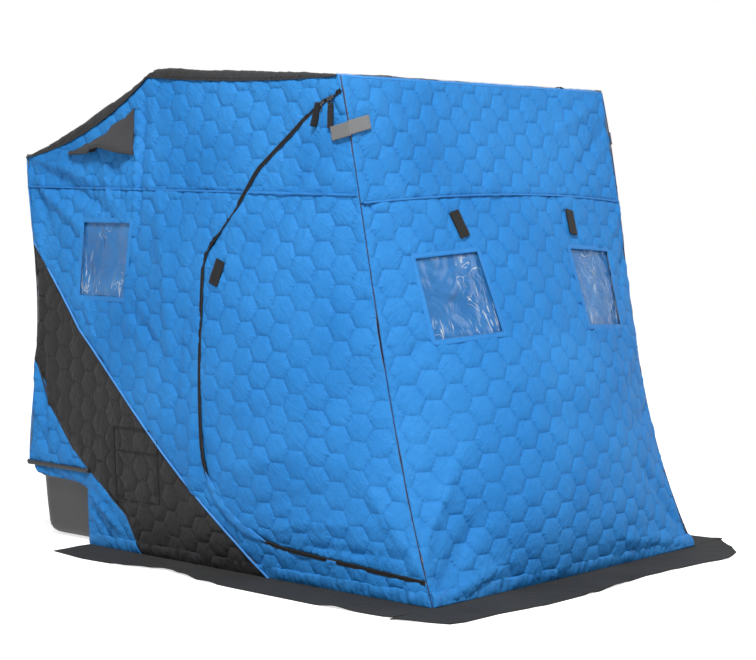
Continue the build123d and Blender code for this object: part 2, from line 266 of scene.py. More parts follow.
def hex_cells(low, high):
    """Flat points and faces of the whole hexagons that cover a rectangle."""
    column = HEX_HIGH * math.sqrt(3) / 2
    angle = []
    for side in range(6):
        start, end = (np.pi / 3 * (side + k) for k in (0, 1))
        for k in range(HEX_POINTS // 6):
            share = k / (HEX_POINTS // 6)
            x = (1 - share) * math.cos(start) + share * math.cos(end)
            y = (1 - share) * math.sin(start) + share * math.sin(end)
            angle.append(math.atan2(y, x))
    angle = np.array(angle)
    rings = [np.zeros((1, 2))]
    for ring in HEX_RINGS:
        reach = ring * hex_border(angle)
        rings.append(np.stack([reach * np.cos(angle), reach * np.sin(angle)], -1))
    cell = np.concatenate(rings)
    turn = [(k, (k + 1) % HEX_POINTS) for k in range(HEX_POINTS)]
    faces = [(0, 1 + k, 1 + after) for k, after in turn]
    for ring in range(len(HEX_RINGS) - 1):
        a, b = 1 + ring * HEX_POINTS, 1 + (ring + 1) * HEX_POINTS
        faces += [(a + k, b + k, b + after, a + after) for k, after in turn]
    points, polygons = [], []
    for i in range(math.floor(low[0] / column) - 1, math.ceil(high[0] / column) + 2):
        for j in range(math.floor(low[1] / HEX_HIGH) - 1, math.ceil(high[1] / HEX_HIGH) + 2):
            base = len(points) * len(cell)
            points.append(cell + (i * column, j * HEX_HIGH + (i % 2) * HEX_HIGH / 2))
            polygons += [tuple(base + k for k in face) for face in faces]
    points = np.concatenate(points)
    _, first, merged = np.unique(np.round(points, 5), axis=0, return_index=True, return_inverse=True)
    merged = merged.ravel()
    return points[first], [tuple(int(merged[k]) for k in face) for face in polygons]


def trimmed(points, faces, inside):
    """The part of a flat mesh where inside(points) is above 0. Points almost on the line move onto it."""
    value, tiny = inside(points), 1e-5
    slope = np.stack([inside(points + (tiny, 0)) - value, inside(points + (0, tiny)) - value], -1) / tiny
    steep = (slope**2).sum(-1) + 1e-12
    near = np.abs(value) < 0.0025 * np.sqrt(steep)
    points = points.copy()
    points[near] -= (value / steep)[near, None] * slope[near]
    value[near] = 0
    added, cut, kept = [], {}, []
    for face in faces:
        signs = [value[k] for k in face]
        if max(signs) <= 0:
            continue
        if min(signs) >= 0:
            kept.append(face)
            continue
        polygon = []
        for a, b in zip(face, face[1:] + face[:1]):
            if value[a] >= 0:
                polygon.append(a)
            if value[a] * value[b] < 0:
                edge = (min(a, b), max(a, b))
                if edge not in cut:
                    share = value[a] / (value[a] - value[b])
                    cut[edge] = len(points) + len(added)
                    added.append(points[a] + (points[b] - points[a]) * share)
                polygon.append(cut[edge])
        kept.append(tuple(polygon))
    points = np.concatenate([points, np.array(added).reshape(-1, 2)])
    used = np.unique([k for face in kept for k in face])
    place = {int(k): i for i, k in enumerate(used)}
    return points[used], [tuple(place[k] for k in face) for face in kept]


def outward(wall, plan):
    """Points of a wall and the directions straight out of it."""
    at, turn = wall
    a, b, tiny = plan[:, 0], plan[:, 1], 1e-4
    here = at(a, b)
    normal = np.cross(at(a + tiny, b) - here, at(a, b + tiny) - here) * turn
    return here, normal / np.linalg.norm(normal, axis=1)[:, None]


def rims(faces):
    """Edges that only one face has, in that face's direction."""
    edges = {}
    for face in faces:
        for a, b in zip(face, face[1:] + face[:1]):
            edges[(a, b)] = edges.get((a, b), 0) + 1
    return [(a, b) for a, b in edges if (b, a) not in edges]


def closed(faces, count):
    """The faces of a sheet, of its back, whose points come count later, and of the edge between them."""
    back = [tuple(k + count for k in face[::-1]) for face in faces]
    return faces + back + [(b, a, a + count, b + count) for a, b in rims(faces)]


def nearest_run(plan, start, along):
    """For each flat point: its nearest straight run, how far away it is, and where along the run, 0 to 1."""
    size = (along**2).sum(-1) + 1e-12
    run, apart, place = np.zeros(len(plan), int), np.zeros(len(plan)), np.zeros(len(plan))
    for k in range(0, len(plan), 2000):
        away = plan[k : k + 2000, None] - start[None]
        share = np.clip((away * along).sum(-1) / size, 0, 1)
        off = ((away - share[..., None] * along) ** 2).sum(-1)
        best = off.argmin(1)
        row = np.arange(len(best))
        part = slice(k, k + 2000)
        run[part], apart[part], place[part] = best, np.sqrt(off[row, best]), share[row, best]
    return run, apart, place


def border_distance(points, faces):
    """How far each flat point is from the nearest edge of its panel, and how far along that edge it lies."""
    line = np.array([(points[a], points[b]) for a, b in rims(faces)])
    along = line[:, 1] - line[:, 0]
    run, apart, _ = nearest_run(points, line[:, 0], along)
    return apart, (points * along[run]).sum(-1) / np.sqrt((along[run] ** 2).sum(-1) + 1e-12)


def folds(plan, strokes):
    """Height of soft folds: each stroke is a line from (a, b) to (a, b) with its half width and its height."""
    bent = np.array([noise.noise_vector(Vector((a * 3, b * 3, 1.7)))[:2] for a, b in plan])
    plan = plan + 0.02 * bent
    height = np.zeros(len(plan))
    for a0, b0, a1, b1, half_width, high in strokes:
        start, along = np.array((a0, b0)), np.array((a1 - a0, b1 - b0))
        share = np.clip(((plan - start) @ along) / (along @ along), 0, 1)
        off = plan - start - share[:, None] * along
        taper = np.sin(np.pi * np.clip(share, 0.04, 0.96)) ** 0.7
        height += 1.5 * high * taper * np.exp(-(off**2).sum(-1) / half_width**2)
    return height


def new_tree(name, kind, given, results):
    """A new node group with its named inputs as wires and its outputs' sockets."""
    tree = bpy.data.node_groups.new(name, kind)
    for in_out, sockets in (("INPUT", given), ("OUTPUT", results)):
        for label, socket in sockets.items():
            tree.interface.new_socket(name=label, in_out=in_out, socket_type=f"NodeSocket{socket}")
    return tree, outputs(tree, "NodeGroupInput"), node(tree, "NodeGroupOutput").inputs


def geometry_tree(name, floats, **others):
    """A new geometry tree with a mesh going in and out."""
    given = {"Geometry": "Geometry", **dict.fromkeys(floats, "Float"), **others}
    return new_tree(name, "GeometryNodeTree", given, {"Geometry": "Geometry"})


def named(tree, name, kind="FLOAT"):
    return wire(tree, "GeometryNodeInputNamedAttribute", {"Name": name}, data_type=kind)


def attribute(mesh, name, values, kind="FLOAT", domain="POINT"):
    """Store values on a mesh's points, corners or faces."""
    values = np.asarray(values) if kind == "BOOLEAN" else np.asarray(values, np.float32)
    field = "vector" if kind == "FLOAT_VECTOR" else "value"
    mesh.attributes.new(name, kind, domain).data.foreach_set(field, values.ravel())


def corner_points(mesh):
    """The point that each corner of a mesh's faces is at."""
    found = np.zeros(len(mesh.loops), np.int32)
    mesh.loops.foreach_get("vertex_index", found)
    return found


def clouds(tree, inputs, dimensions="3D", output=0):
    """Soft noise from 0 to 1."""
    return wire(tree, "ShaderNodeTexNoise", inputs, output, noise_dimensions=dimensions)


def ramp(value, low, high):
    """0 where a value is at low, 1 where it is at high."""
    return wire(value.tree, "ShaderNodeMapRange", {"Value": value, "From Min": low, "From Max": high})


def shaped(name, mesh, tree, inputs):
    """The mesh that a geometry tree makes of another one, as a plain object."""
    raw = object_of(name + "_raw", mesh)
    modifier = raw.modifiers.new("shape", "NODES")
    modifier.node_group = tree
    for item in tree.interface.items_tree:
        if item.in_out == "INPUT" and item.name in inputs:
            modifier[item.identifier] = inputs[item.name]
    result = bpy.data.meshes.new_from_object(raw.evaluated_get(bpy.context.evaluated_depsgraph_get()))
    raw.modifiers.clear()
    bpy.data.objects.remove(raw)
    result.name = name
    return object_of(name, result)


def quilting_tree():
    """Puffs each hexagon out between its stitched grooves, lays the lining behind it and puckers the cloth."""
    floats = ("Puff", "Lining puff", "Thickness", "Pucker", "Buckle", "Gather")
    floats += ("Pucker size", "Calm border", "Seed")
    tree, given, out = geometry_tree("quilting", floats, Cloth="Material", Lining="Material")
    border, flat = named(tree, "border"), named(tree, "flat", "FLOAT_VECTOR")
    calm = {"Value": border, "From Max": given["Calm border"]}
    calm = wire(tree, "ShaderNodeMapRange", calm, interpolation_type="SMOOTHSTEP")
    rise = (1 - (1 - (named(tree, "depth") / (HEX_HIGH / 2)).clamped()) ** 4.2) * calm
    puckers = 0.0
    for angle, stretch in ((0.75, 3.2), (-0.6, 2.6)):
        turned = wire(tree, "ShaderNodeVectorRotate", {"Vector": flat, "Angle": angle}, rotation_type="Z_AXIS")
        drawn = {"Vector": turned.vector("MULTIPLY", (stretch, 1, 1)), "W": given["Seed"], "Detail": 1.5}
        drawn.update({"Scale": given["Pucker size"], "Roughness": 0.5})
        puckers = clouds(tree, drawn, "4D") - 0.5 + puckers
    near_edge = (border * -22).done("EXPONENT")
    puckers = puckers * ((near_edge * 1.2 + 0.8) * given["Pucker"])
    broad = {"Vector": flat, "W": given["Seed"], "Scale": 3.2, "Detail": 1.0, "Distortion": 0.6}
    puckers = (clouds(tree, broad, "4D") - 0.5) * given["Buckle"] + puckers
    gathers = {"W": named(tree, "edge_place") * 46.0, "Scale": 1.0, "Detail": 2.0, "Roughness": 0.6}
    fade = border * (border * -38).done("EXPONENT") * given["Gather"]
    puckers = puckers + (clouds(tree, gathers, "1D") - 0.5) * fade
    uneven = clouds(tree, {"Vector": flat, "W": given["Seed"], "Scale": 5.0, "Detail": 1.0}, "4D")
    rise = rise * (uneven * 1.8 + 0.1)
    common = named(tree, "fold") + puckers
    face = rise * given["Puff"] + common
    back = common - (rise * given["Lining puff"] + given["Thickness"])
    height = wire(tree, "ShaderNodeMix", {0: named(tree, "inner"), 2: face, 3: back}, data_type="FLOAT")
    move = {"Geometry": given["Geometry"], "Offset": named(tree, "out", "FLOAT_VECTOR").scaled(height)}
    placed = wire(tree, "GeometryNodeSetPosition", move)
    smooth = wire(tree, "GeometryNodeSetShadeSmooth", {"Geometry": placed})
    real = wire(tree, "GeometryNodeRealizeInstances", {"Geometry": smooth})
    real = wire(tree, "GeometryNodeSetMaterial", {"Geometry": real, "Material": given["Cloth"]})
    lined = {"Geometry": real, "Selection": named(tree, "lined", "BOOLEAN"), "Material": given["Lining"]}
    fill(out, {"Geometry": wire(tree, "GeometryNodeSetMaterial", lined)})
    return tree


quilting = quilting_tree()


def quilted(
    name, wall, low, high, lines, cloth, strokes=(), seed=0.0,
    puff=0.0062, pucker=0.0060, calm=0.018, sewn_down=(),
):
    """A quilted panel: hexagons over the box from low to high, trimmed by lines and laid on a wall."""
    flat, faces = hex_cells(low, high)
    for line in lines:
        flat, faces = trimmed(flat, faces, line)
    _, depth = hex_centres(flat)
    border, edge_place = border_distance(flat, faces)
    for line in sewn_down:
        off = np.abs(line(flat))
        edge_place = np.where(off < border, flat[:, 0], edge_place)
        border = np.minimum(border, off)
    pulled = np.array([noise.noise_vector(Vector((a * 3.5, b * 3.5, seed)))[:2] for a, b in flat])
    plan = flat + 0.013 * pulled * np.clip(border / 0.06, 0, 1)[:, None] ** 1.5
    here, out = outward(wall, plan)
    if wall[1] < 0:
        faces = [face[::-1] for face in faces]
    count, both = len(plan), closed(faces, len(plan))
    mesh = bpy.data.meshes.new(name)
    mesh.from_pydata(np.concatenate([here, here]).tolist(), [], both)
    twice = {"depth": np.maximum(depth, 0), "border": border, "edge_place": edge_place}
    twice["fold"] = folds(plan, strokes)
    for key, values in twice.items():
        attribute(mesh, key, np.tile(values, 2))
    attribute(mesh, "inner", np.repeat([0.0, 1.0], count))
    attribute(mesh, "lined", np.repeat([False, True], [len(faces), len(both) - len(faces)]), "BOOLEAN", "FACE")
    attribute(mesh, "out", np.tile(out, (2, 1)), "FLOAT_VECTOR")
    attribute(mesh, "flat", np.tile(np.pad(flat, ((0, 0), (0, 1))), (2, 1)), "FLOAT_VECTOR")
    owner = np.repeat(np.arange(len(mesh.polygons)), [p.loop_total for p in mesh.polygons])
    at_corner = flat[corner_points(mesh) % count]
    middle = np.stack([np.bincount(owner, at_corner[:, k]) for k in (0, 1)], -1) / np.bincount(owner)[:, None]
    cell, _ = hex_centres(middle)
    away = at_corner - cell[owner]
    angle = np.arctan2(away[:, 1], away[:, 0])
    chance = np.sin(cell[owner] @ (91.7, 37.3)) * 43.7
    around = np.stack([np.cos(angle), np.sin(angle), chance % 1.0], -1)
    attribute(mesh, "around", around, "FLOAT_VECTOR", "CORNER")
    attribute(mesh, "reach", np.hypot(away[:, 0], away[:, 1]) / hex_border(angle), domain="CORNER")
    mesh.uv_layers.new(name="cloth").data.foreach_set("uv", at_corner.astype(np.float32).ravel())
    given = {"Puff": puff, "Lining puff": 0.003, "Thickness": 0.0035, "Pucker": pucker, "Pucker size": 9.0}
    given.update({"Buckle": 0.020, "Gather": 0.9, "Calm border": calm, "Seed": seed})
    made = shaped(name, mesh, quilting, {**given, "Cloth": cloth, "Lining": lining_cloth})
    made["flat_area"] = float(sum(p.area for p in mesh.polygons[: len(faces)]))
    return made


def weave_effect():
    """A plain weave: threads that pass over and under each other, as a height."""
    given = {"Vector": "Vector", "Threads per metre": "Float"}
    tree, given, out = new_tree("weave", "ShaderNodeTree", given, {"Height": "Float"})
    spread = given["Vector"].scaled(given["Threads per metre"])
    parts = outputs(tree, "ShaderNodeSeparateXYZ", {0: spread})
    warp, weft = (abs((parts[axis] * math.pi).done("SINE")) for axis in "XY")
    over = wire(tree, "ShaderNodeTexChecker", {"Vector": spread, "Scale": 1.0}, "Fac")
    fill(out, {"Height": wire(tree, "ShaderNodeMix", {0: over, 2: warp, 3: weft}, data_type="FLOAT")})
    return tree


def pucker_effect():
    """Short creases that run off each stitched groove and fade towards the hexagon's middle, and a mask of the
    grooves for painted shade.
    """
    given = {"Around": "Vector", "Reach": "Float", "Creases": "Float"}
    tree, given, out = new_tree("puckers", "ShaderNodeTree", given, {"Height": "Float", "Groove": "Float"})
    creases = {"Vector": given["Around"], "Scale": given["Creases"], "Detail": 2.0, "Roughness": 0.6}
    fill(out, {"Height": (clouds(tree, creases) - 0.5) * given["Reach"] ** 3.0})
    # The second output marks the stitched grooves, where the cloth gets painted shade.
    fill(out, {"Groove": (given["Reach"] ** 14.0).clamped()})
    return tree


def wear_effect():
    """Uneven dye and rubbed patches, and settled dust, as two masks from 0 to 1."""
    given = {"Vector": "Vector", "Size": "Float"}
    tree, given, out = new_tree("wear", "ShaderNodeTree", given, {"Patches": "Float", "Specks": "Float"})
    broad = clouds(tree, {"Vector": given["Vector"], "Scale": given["Size"], "Detail": 5.0, "Roughness": 0.62})
    specks = clouds(tree, {"Vector": given["Vector"], "Scale": given["Size"] * 40.0, "Detail": 2.0})
    fill(out, {"Patches": ramp(broad, 0.3, 0.7), "Specks": ramp(specks, 0.62, 0.74)})
    return tree


weave, puckers, wear = weave_effect(), pucker_effect(), wear_effect()


def group(tree, kind, inputs):
    """The outputs of a shader group, by name."""
    return outputs(tree, "ShaderNodeGroup", inputs, node_tree=kind)


def colour(*rgb):
    """A colour given as it is seen, 0 to 255, as the linear values that a shader takes."""
    return tuple((v / 255 / 12.92 if v <= 10 else ((v / 255 + 0.055) / 1.055) ** 2.4) for v in rgb) + (1,)


def mixed(share, one, other):
    """A colour between two others."""
    return wire(share.tree, "ShaderNodeMix", {0: share, 6: one, 7: other}, 2, data_type="RGBA")


def bumped(height):
    """The direction that a surface faces when a height in metres is worked into it."""
    return wire(height.tree, "ShaderNodeBump", {"Height": height, "Distance": 1.0, "Strength": 1.0})


def cloth_material(
    name, deep, light, threads=900, rough=0.52, sheen=0.04, quilt=True,
    crease=0.5, thread_height=0.00012, gloss=0.30,
):
    """Woven cloth: dyed between two shades, paler where it is rubbed, with painted shade darkening its stitched
    grooves.
    """
    made, tree, shader = new_material(name)
    place = wire(tree, "ShaderNodeTexCoord", output="Object")
    cloth = wire(tree, "ShaderNodeUVMap", uv_map="cloth") if quilt else place
    worn = group(tree, wear, {"Vector": place, "Size": 2.3})
    shade = mixed((worn["Specks"] * 0.18 + worn["Patches"]).clamped(), colour(*deep), colour(*light))
    height = group(tree, weave, {"Vector": cloth, "Threads per metre": threads})["Height"] * thread_height
    fine = clouds(tree, {"Vector": place, "Scale": 34.0, "Detail": 3.0, "Distortion": 0.9})
    height = fine * (0.0040 * crease) + height
    if quilt:
        around = wire(tree, "ShaderNodeAttribute", output="Vector", attribute_name="around")
        reach = wire(tree, "ShaderNodeAttribute", output="Fac", attribute_name="reach")
        drawn = group(tree, puckers, {"Around": around, "Reach": reach, "Creases": 4.2})
        height = drawn["Height"] * (0.014 * crease) + height
        for angle, size in ((0.8, 8.0), (-0.5, 11.0)):
            turned = {"Vector": cloth, "Angle": angle}
            turned = wire(tree, "ShaderNodeVectorRotate", turned, rotation_type="Z_AXIS")
            drag = {"Vector": turned.vector("MULTIPLY", (3.4, 1, 1)), "Scale": size, "Detail": 2.5}
            drag = clouds(tree, {**drag, "Roughness": 0.55, "Distortion": 1.1})
            height = (0.25 - abs(drag - 0.5)) * (0.011 * crease) + height
        # Painted shade: the cloth's colour is darkened towards the stitched grooves round each hexagon, where
        # shade falls.
        groove_shade_colour = tuple(v * 0.45 for v in colour(*deep)[:3]) + (1,)
        shade = mixed(drawn["Groove"] * 0.12, shade, groove_shade_colour)
    fill(shader, {"Base Color": shade, "Normal": bumped(height)})
    fill(shader, {"Roughness": worn["Patches"] * 0.1 + (rough - 0.05), "Specular IOR Level": gloss})
    fill(shader, {"Sheen Weight": sheen, "Sheen Roughness": 0.45})
    return made


BLUE = ((33, 115, 185), (51, 133, 203))
blue_cloth = cloth_material("blue_oxford_cloth", *BLUE, rough=0.6, sheen=0.0, gloss=0.14)
lining_cloth = cloth_material("grey_lining_cloth", (84, 88, 94), (104, 108, 114))


def finished(piece, slot, stands_for=None, body="hut"):
    """Fix a piece to the hut, or for a door only bake its placement into its mesh, and hide the CAD node it
    stands for. The slot is not used.
    """
    if body == "hut":
        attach(piece, "hut")
    else:
        bend_at_corner(piece, body)
    if stands_for:
        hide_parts(stands_for)
    return piece


def front_seam_height(x):
    return 1.276 - 0.028 * (x / HALF_FOOT) ** 2


def window_line(x, z, tilt):
    """Outside a tilted window opening."""
    turn = math.radians(tilt)
    along, up = np.array((math.cos(turn), math.sin(turn))), np.array((-math.sin(turn), math.cos(turn)))
    half_wide, half_high = FRONT_PANE[0] / 2, FRONT_PANE[1] / 2

    def line(p):
        away = p - (x, z)
        return np.maximum(np.abs(away @ along) - half_wide, np.abs(away @ up) - half_high)

    return line


FRONT_FOLDS = [
    (-0.70, 0.03, -0.40, 0.30, 0.030, -0.012),
    (-0.71, 0.12, -0.52, 0.42, 0.018, 0.010),
    (-0.68, 0.02, -0.30, 0.12, 0.022, 0.009),
    (0.71, 0.06, 0.42, 0.34, 0.026, -0.010),
    (0.70, 0.02, 0.20, 0.10, 0.024, 0.008),
    (0.70, 1.10, 0.50, 0.86, 0.022, -0.007),
    (0.69, 0.78, 0.30, 0.60, 0.030, 0.007),
    (0.70, 0.52, 0.38, 0.44, 0.024, -0.007),
    (0.69, 1.24, 0.56, 1.12, 0.014, 0.006),
    (0.69, 1.62, 0.25, 1.46, 0.030, 0.007),
    (0.69, 1.52, 0.40, 1.33, 0.020, -0.006),
    (-0.69, 1.60, -0.35, 1.42, 0.026, 0.005),
    (-0.53, 1.08, -0.66, 1.20, 0.012, 0.005),
    (-0.24, 0.82, -0.05, 0.70, 0.016, 0.005),
    (-0.53, 0.82, -0.64, 0.72, 0.013, -0.005),
    (0.24, 1.08, 0.06, 1.20, 0.016, 0.005),
    (0.52, 0.81, 0.64, 0.70, 0.014, 0.006),
    (-0.20, 0.60, 0.25, 0.50, 0.060, -0.006),
    (-0.45, 0.50, -0.62, 0.26, 0.030, 0.006),
]
FRONT_PANE = (0.275, 0.265)
front_wall = (front_at, 1)
front_windows = {"left": (-0.382, 0.950, 3.5), "right": (0.382, 0.950, -3.5)}


def inside_corners(p):
    return corner_x(p[:, 1]) - 0.0015 - np.abs(p[:, 0])


def under_patch(p):
    """How far a point is outside the reflective patches, which are sewn down flat."""
    return np.maximum(np.maximum(0.605 - np.abs(p[:, 0]), np.abs(p[:, 1] - 1.496) - 0.036), 0)


# Each panel: the lines above 0 inside it, the box of heights round it, its flat size, and its calm lines.
front_panels = {
    "lower": (
        (lambda p: p[:, 1] - 0.004, lambda p: front_seam_height(p[:, 0]) - p[:, 1] + 0.001),
        (-0.02, 1.29),
        (1.47, 1.33),
        (),
    ),
    "upper": (
        (lambda p: 0.001 - (front_seam_height(p[:, 0]) - p[:, 1]), lambda p: 1.652 - p[:, 1]),
        (1.2, 1.67),
        (1.44, 0.42),
        (under_patch,),
    ),
}
openings = [window_line(*place) for place in front_windows.values()]
for k, (panel, (limits, (low, high), flat, calm_lines)) in enumerate(front_panels.items()):
    limits = [inside_corners, *limits, *(openings if panel == "lower" else [])]
    box = (-0.74, low), (0.74, high)
    name = f"front_quilt_{panel}"
    piece = quilted(name, front_wall, *box, limits, blue_cloth, FRONT_FOLDS, 1.0 + k, sewn_down=calm_lines)
    finished(piece, "blue_quilt", f"front_wall_{panel}")


# ---------------------------------------------------------------- the side walls and their doors
# Each side has a quilted door at the front, sewn to the corner and free along its zip, and fixed
# panels behind and under it: blue, then a slanting charcoal band, then blue again at the rear.
# A point of a side wall is given by its set back from the front line and its height.
SIDES = ((-1, "left"), (1, "right"))
CREST = (1.300, 1.715)
REAR_TOP = (2.020, 1.420)
REAR_FOOT = (2.008, 0.275)
SEWN = 0.0015  # how far two panels reach over each other at a seam
CUT = 0.004


def rear_share(z):
    return (z - REAR_FOOT[1]) / (REAR_TOP[1] - REAR_FOOT[1])


def rear_back(z):
    return REAR_FOOT[0] + 0.012 * rear_share(z) - 0.055 * waist(rear_share(z))


def side_x(back, z):
    along = (back - corner_back(z)) / (rear_back(z) - corner_back(z))
    full = 0.080 * swell(along) - 0.030 * (1 - along) ** 4
    return straight_x(z) + swell(z / FRONT_HEIGHT) * full


def roof_height(back):
    share = (back - CREST[0]) / (REAR_TOP[0] - CREST[0])
    level = FRONT_HEIGHT + 0.055 / 0.887 * (back - 0.413)
    return np.where(back < CREST[0], level, CREST[1] - 0.295 * share - 0.060 * share * (1 - share))


def side_wall(side):
    """The left wall, side -1, or the right one, side 1."""
    return lambda back, z: np.stack([side * side_x(back, z), FRONT_Y + back, z], -1), side


def spaced(points, spacing):
    """The same line with evenly spaced points."""
    points = np.asarray(points, float)
    run = np.concatenate([[0], np.cumsum(np.linalg.norm(np.diff(points, axis=0), axis=1))])
    even = np.linspace(0, run[-1], max(2, int(round(run[-1] / spacing)) + 1))
    return np.stack([np.interp(even, run, points[:, k]) for k in range(points.shape[1])], -1)


def angle_between(first, last):
    """The turn from one angle to another, at most half a circle either way."""
    return (last - first + math.pi) % (2 * math.pi) - math.pi


def rounded_path(corners, radii, spacing=0.012):
    """Points along straight runs joined by arcs."""
    points = [np.array(corners[0])]
    for before, corner, after, radius in zip(corners, corners[1:], corners[2:], radii):
        corner, to, away = np.array(corner), np.array(before) - corner, np.array(after) - corner
        to, away = to / np.linalg.norm(to), away / np.linalg.norm(away)
        half = math.acos(float(np.clip(to @ away, -1, 1))) / 2
        reach = radius / math.tan(half)
        middle = corner + (to + away) / np.linalg.norm(to + away) * radius / math.sin(half)
        start, end = corner + to * reach - middle, corner + away * reach - middle
        first = math.atan2(start[1], start[0])
        swing = angle_between(first, math.atan2(end[1], end[0]))
        for share in np.linspace(0, 1, 2 + int(abs(swing) * radius / spacing)):
            angle = first + swing * share
            points.append(middle + radius * np.array((math.cos(angle), math.sin(angle))))
    return spaced([*points, np.array(corners[-1])], spacing)


ZIP_CORNERS = (
    (0.20, 1.7015), (0.520, 1.556), (0.772, 1.358), (0.850, 1.246),
    (1.004, 1.072), (0.972, 0.195), (0.640, 0.118), (-0.20, 0.0574),
)  # fmt: skip
zip_line = rounded_path(ZIP_CORNERS, (0.300, 0.150, 0.150, 0.130, 0.310, 0.500))


def zip_side(plan):
    """Signed distance from the zip line, above 0 on the door's side."""
    along = np.diff(zip_line, axis=0)
    run, apart, _ = nearest_run(plan, zip_line[:-1], along)
    away = plan - zip_line[run]
    return -apart * np.sign(along[run, 0] * away[:, 1] - along[run, 1] * away[:, 0])


def above_runs(corners):
    """Distance above a line of straight runs, given from its rear end forwards."""
    line = np.array(corners[::-1])
    slope = np.diff(line[:, 1]) / np.diff(line[:, 0])

    def above(p):
        run = np.clip(np.searchsorted(line[:, 0], p[:, 0]) - 1, 0, len(slope) - 1)
        level = line[run, 1] + slope[run] * (p[:, 0] - line[run, 0])
        return (p[:, 1] - level) / np.sqrt(1 + slope[run] ** 2)

    return above


def arc_through(a, b, c, count=40):
    """Points of the arc through three points."""
    (ax, ay), (bx, by), (cx, cy) = a, b, c
    d = 2 * (ax * (by - cy) + bx * (cy - ay) + cx * (ay - by))
    square = lambda p: p[0] ** 2 + p[1] ** 2
    ux = (square(a) * (by - cy) + square(b) * (cy - ay) + square(c) * (ay - by)) / d
    uy = (square(a) * (cx - bx) + square(b) * (ax - cx) + square(c) * (bx - ax)) / d
    first, middle, last = (math.atan2(p[1] - uy, p[0] - ux) for p in (a, b, c))
    swing = angle_between(first, middle) + angle_between(middle, last)
    angle = np.linspace(first, first + swing, count)
    radius = math.hypot(ax - ux, ay - uy)
    return np.stack([ux + radius * np.cos(angle), uy + radius * np.sin(angle)], -1)


def below_roof(back, drop):
    return back, float(roof_height(np.array(back))) - drop


crest_seam = below_roof(1.335, 0.012)
roof_seam_line = np.concatenate([
    arc_through((0.353, 1.656), below_roof(0.8565, 0.032), crest_seam),
    arc_through(crest_seam, below_roof(1.660, 0.046), (2.045, 1.411))[1:],
])  # fmt: skip


def roof_seam_height(back):
    return np.interp(back, roof_seam_line[:, 0], roof_seam_line[:, 1])


def inside_outline(outline):
    """Signed distance inside a closed outline."""
    start, end = outline, np.roll(outline, -1, axis=0)
    along = end - start
    rise = np.where(along[:, 1] == 0, 1e-12, along[:, 1])

    def line(p):
        _, apart, _ = nearest_run(p, start, along)
        up = (start[:, 1] > p[:, 1:]) != (end[:, 1] > p[:, 1:])
        right = p[:, :1] < along[:, 0] * (p[:, 1:] - start[:, 1]) / rise + start[:, 0]
        return np.where((up & right).sum(1) % 2 == 1, apart, -apart)

    return line


SIDE_PANE = (0.270, 0.270)
SIDE_PANE_PLACE = (1.555, 1.044)
PANE_LEAN = 0.026


def side_window_line(p):
    """Outside the side window, whose upright edges lean."""
    high = p[:, 1] - SIDE_PANE_PLACE[1]
    lean = -high / SIDE_PANE[1] * PANE_LEAN
    return np.maximum(np.abs(p[:, 0] - SIDE_PANE_PLACE[0] - lean), np.abs(high)) - SIDE_PANE[0] / 2


BAND_TOP = ((2.100, 1.240), (1.700, 0.787), (0.714, 0.0))
BAND_LOW = ((2.100, 0.930), (1.880, 0.500), (1.740, 0.350), (1.430, 0.135), (1.359, 0.0))
SILL = (0.840, 0.872)
above_band, above_low = above_runs(BAND_TOP), above_runs(BAND_LOW)
foot_line = np.array([
    (1.30, 0.284), (1.985, 0.266), (1.955, 0.240), (1.90, 0.232), (1.80, 0.228),
    (1.71, 0.222), (1.655, 0.205), (1.650, 0.0), (1.30, 0.0),
])  # fmt: skip


def side_seam_height(back):
    return 1.276 + 0.0185 * (back - 0.34)


def side_seam(p):
    return p[:, 1] - 1.276 - 0.0185 * (p[:, 0] - 0.34)


# Each line is above 0 on its own side, for points given by set back and height.
lines = {
    "front": lambda p: p[:, 0] - corner_back(p[:, 1]) - SEWN,
    "rear": lambda p: rear_back(p[:, 1]) - p[:, 0] - SEWN,
    "under_roof": lambda p: roof_seam_height(p[:, 0]) + 0.004 - p[:, 1],
    "ice": lambda p: p[:, 1] - CUT,
    "door": lambda p: zip_side(p) - CUT,
    "frame": lambda p: 0.003 - zip_side(p),
    "above_seam": lambda p: side_seam(p) + SEWN,
    "below_seam": lambda p: SEWN - side_seam(p),
    "above_band": lambda p: above_band(p) + SEWN,
    "below_band": lambda p: SEWN - above_band(p),
    "in_band": lambda p: above_low(p) + SEWN,
    "behind_band": lambda p: SEWN - above_low(p),
    "above_hem": lambda p: p[:, 1] - 0.276,
    "behind_sill": lambda p: np.maximum(p[:, 0] - SILL[0], p[:, 1] - SILL[1]),
    "sill": lambda p: np.minimum(SILL[0] - p[:, 0], SILL[1] - p[:, 1]),
    "window": side_window_line,
    "foot": inside_outline(foot_line),
}
black_cloth = cloth_material("charcoal_oxford_cloth", (33, 33, 33), (46, 45, 45), rough=0.6, gloss=0.16)
# Each panel: its lines, the box round it, its flat size and its cloth.
side_panels = {
    "wall_upper": (
        "frame above_seam under_roof rear front", (0.30, 1.20), (2.10, 1.75), (1.72, 0.42), blue_cloth
    ),
    "wall_main": (
        "frame behind_sill below_seam above_band rear window",
        (0.80, 0.0), (2.10, 1.33), (1.30, 1.22), blue_cloth,
    ),
    "door_sill": ("frame sill ice above_band front", (-0.10, -0.02), (0.90, 0.90), (0.86, 0.13), blue_cloth),
    "wall_band": ("below_band in_band ice rear", (0.70, -0.02), (2.10, 1.30), (1.55, 0.72), black_cloth),
    "wall_corner": ("behind_band above_hem rear", (1.55, 0.20), (2.10, 0.95), (0.37, 0.40), blue_cloth),
    "wall_foot": ("behind_band foot ice", (1.30, -0.02), (2.00, 0.32), (0.62, 0.30), blue_cloth),
    "door": ("door front", (-0.05, 0.0), (1.10, 1.66), (1.10, 1.62), blue_cloth),
}  # fmt: skip
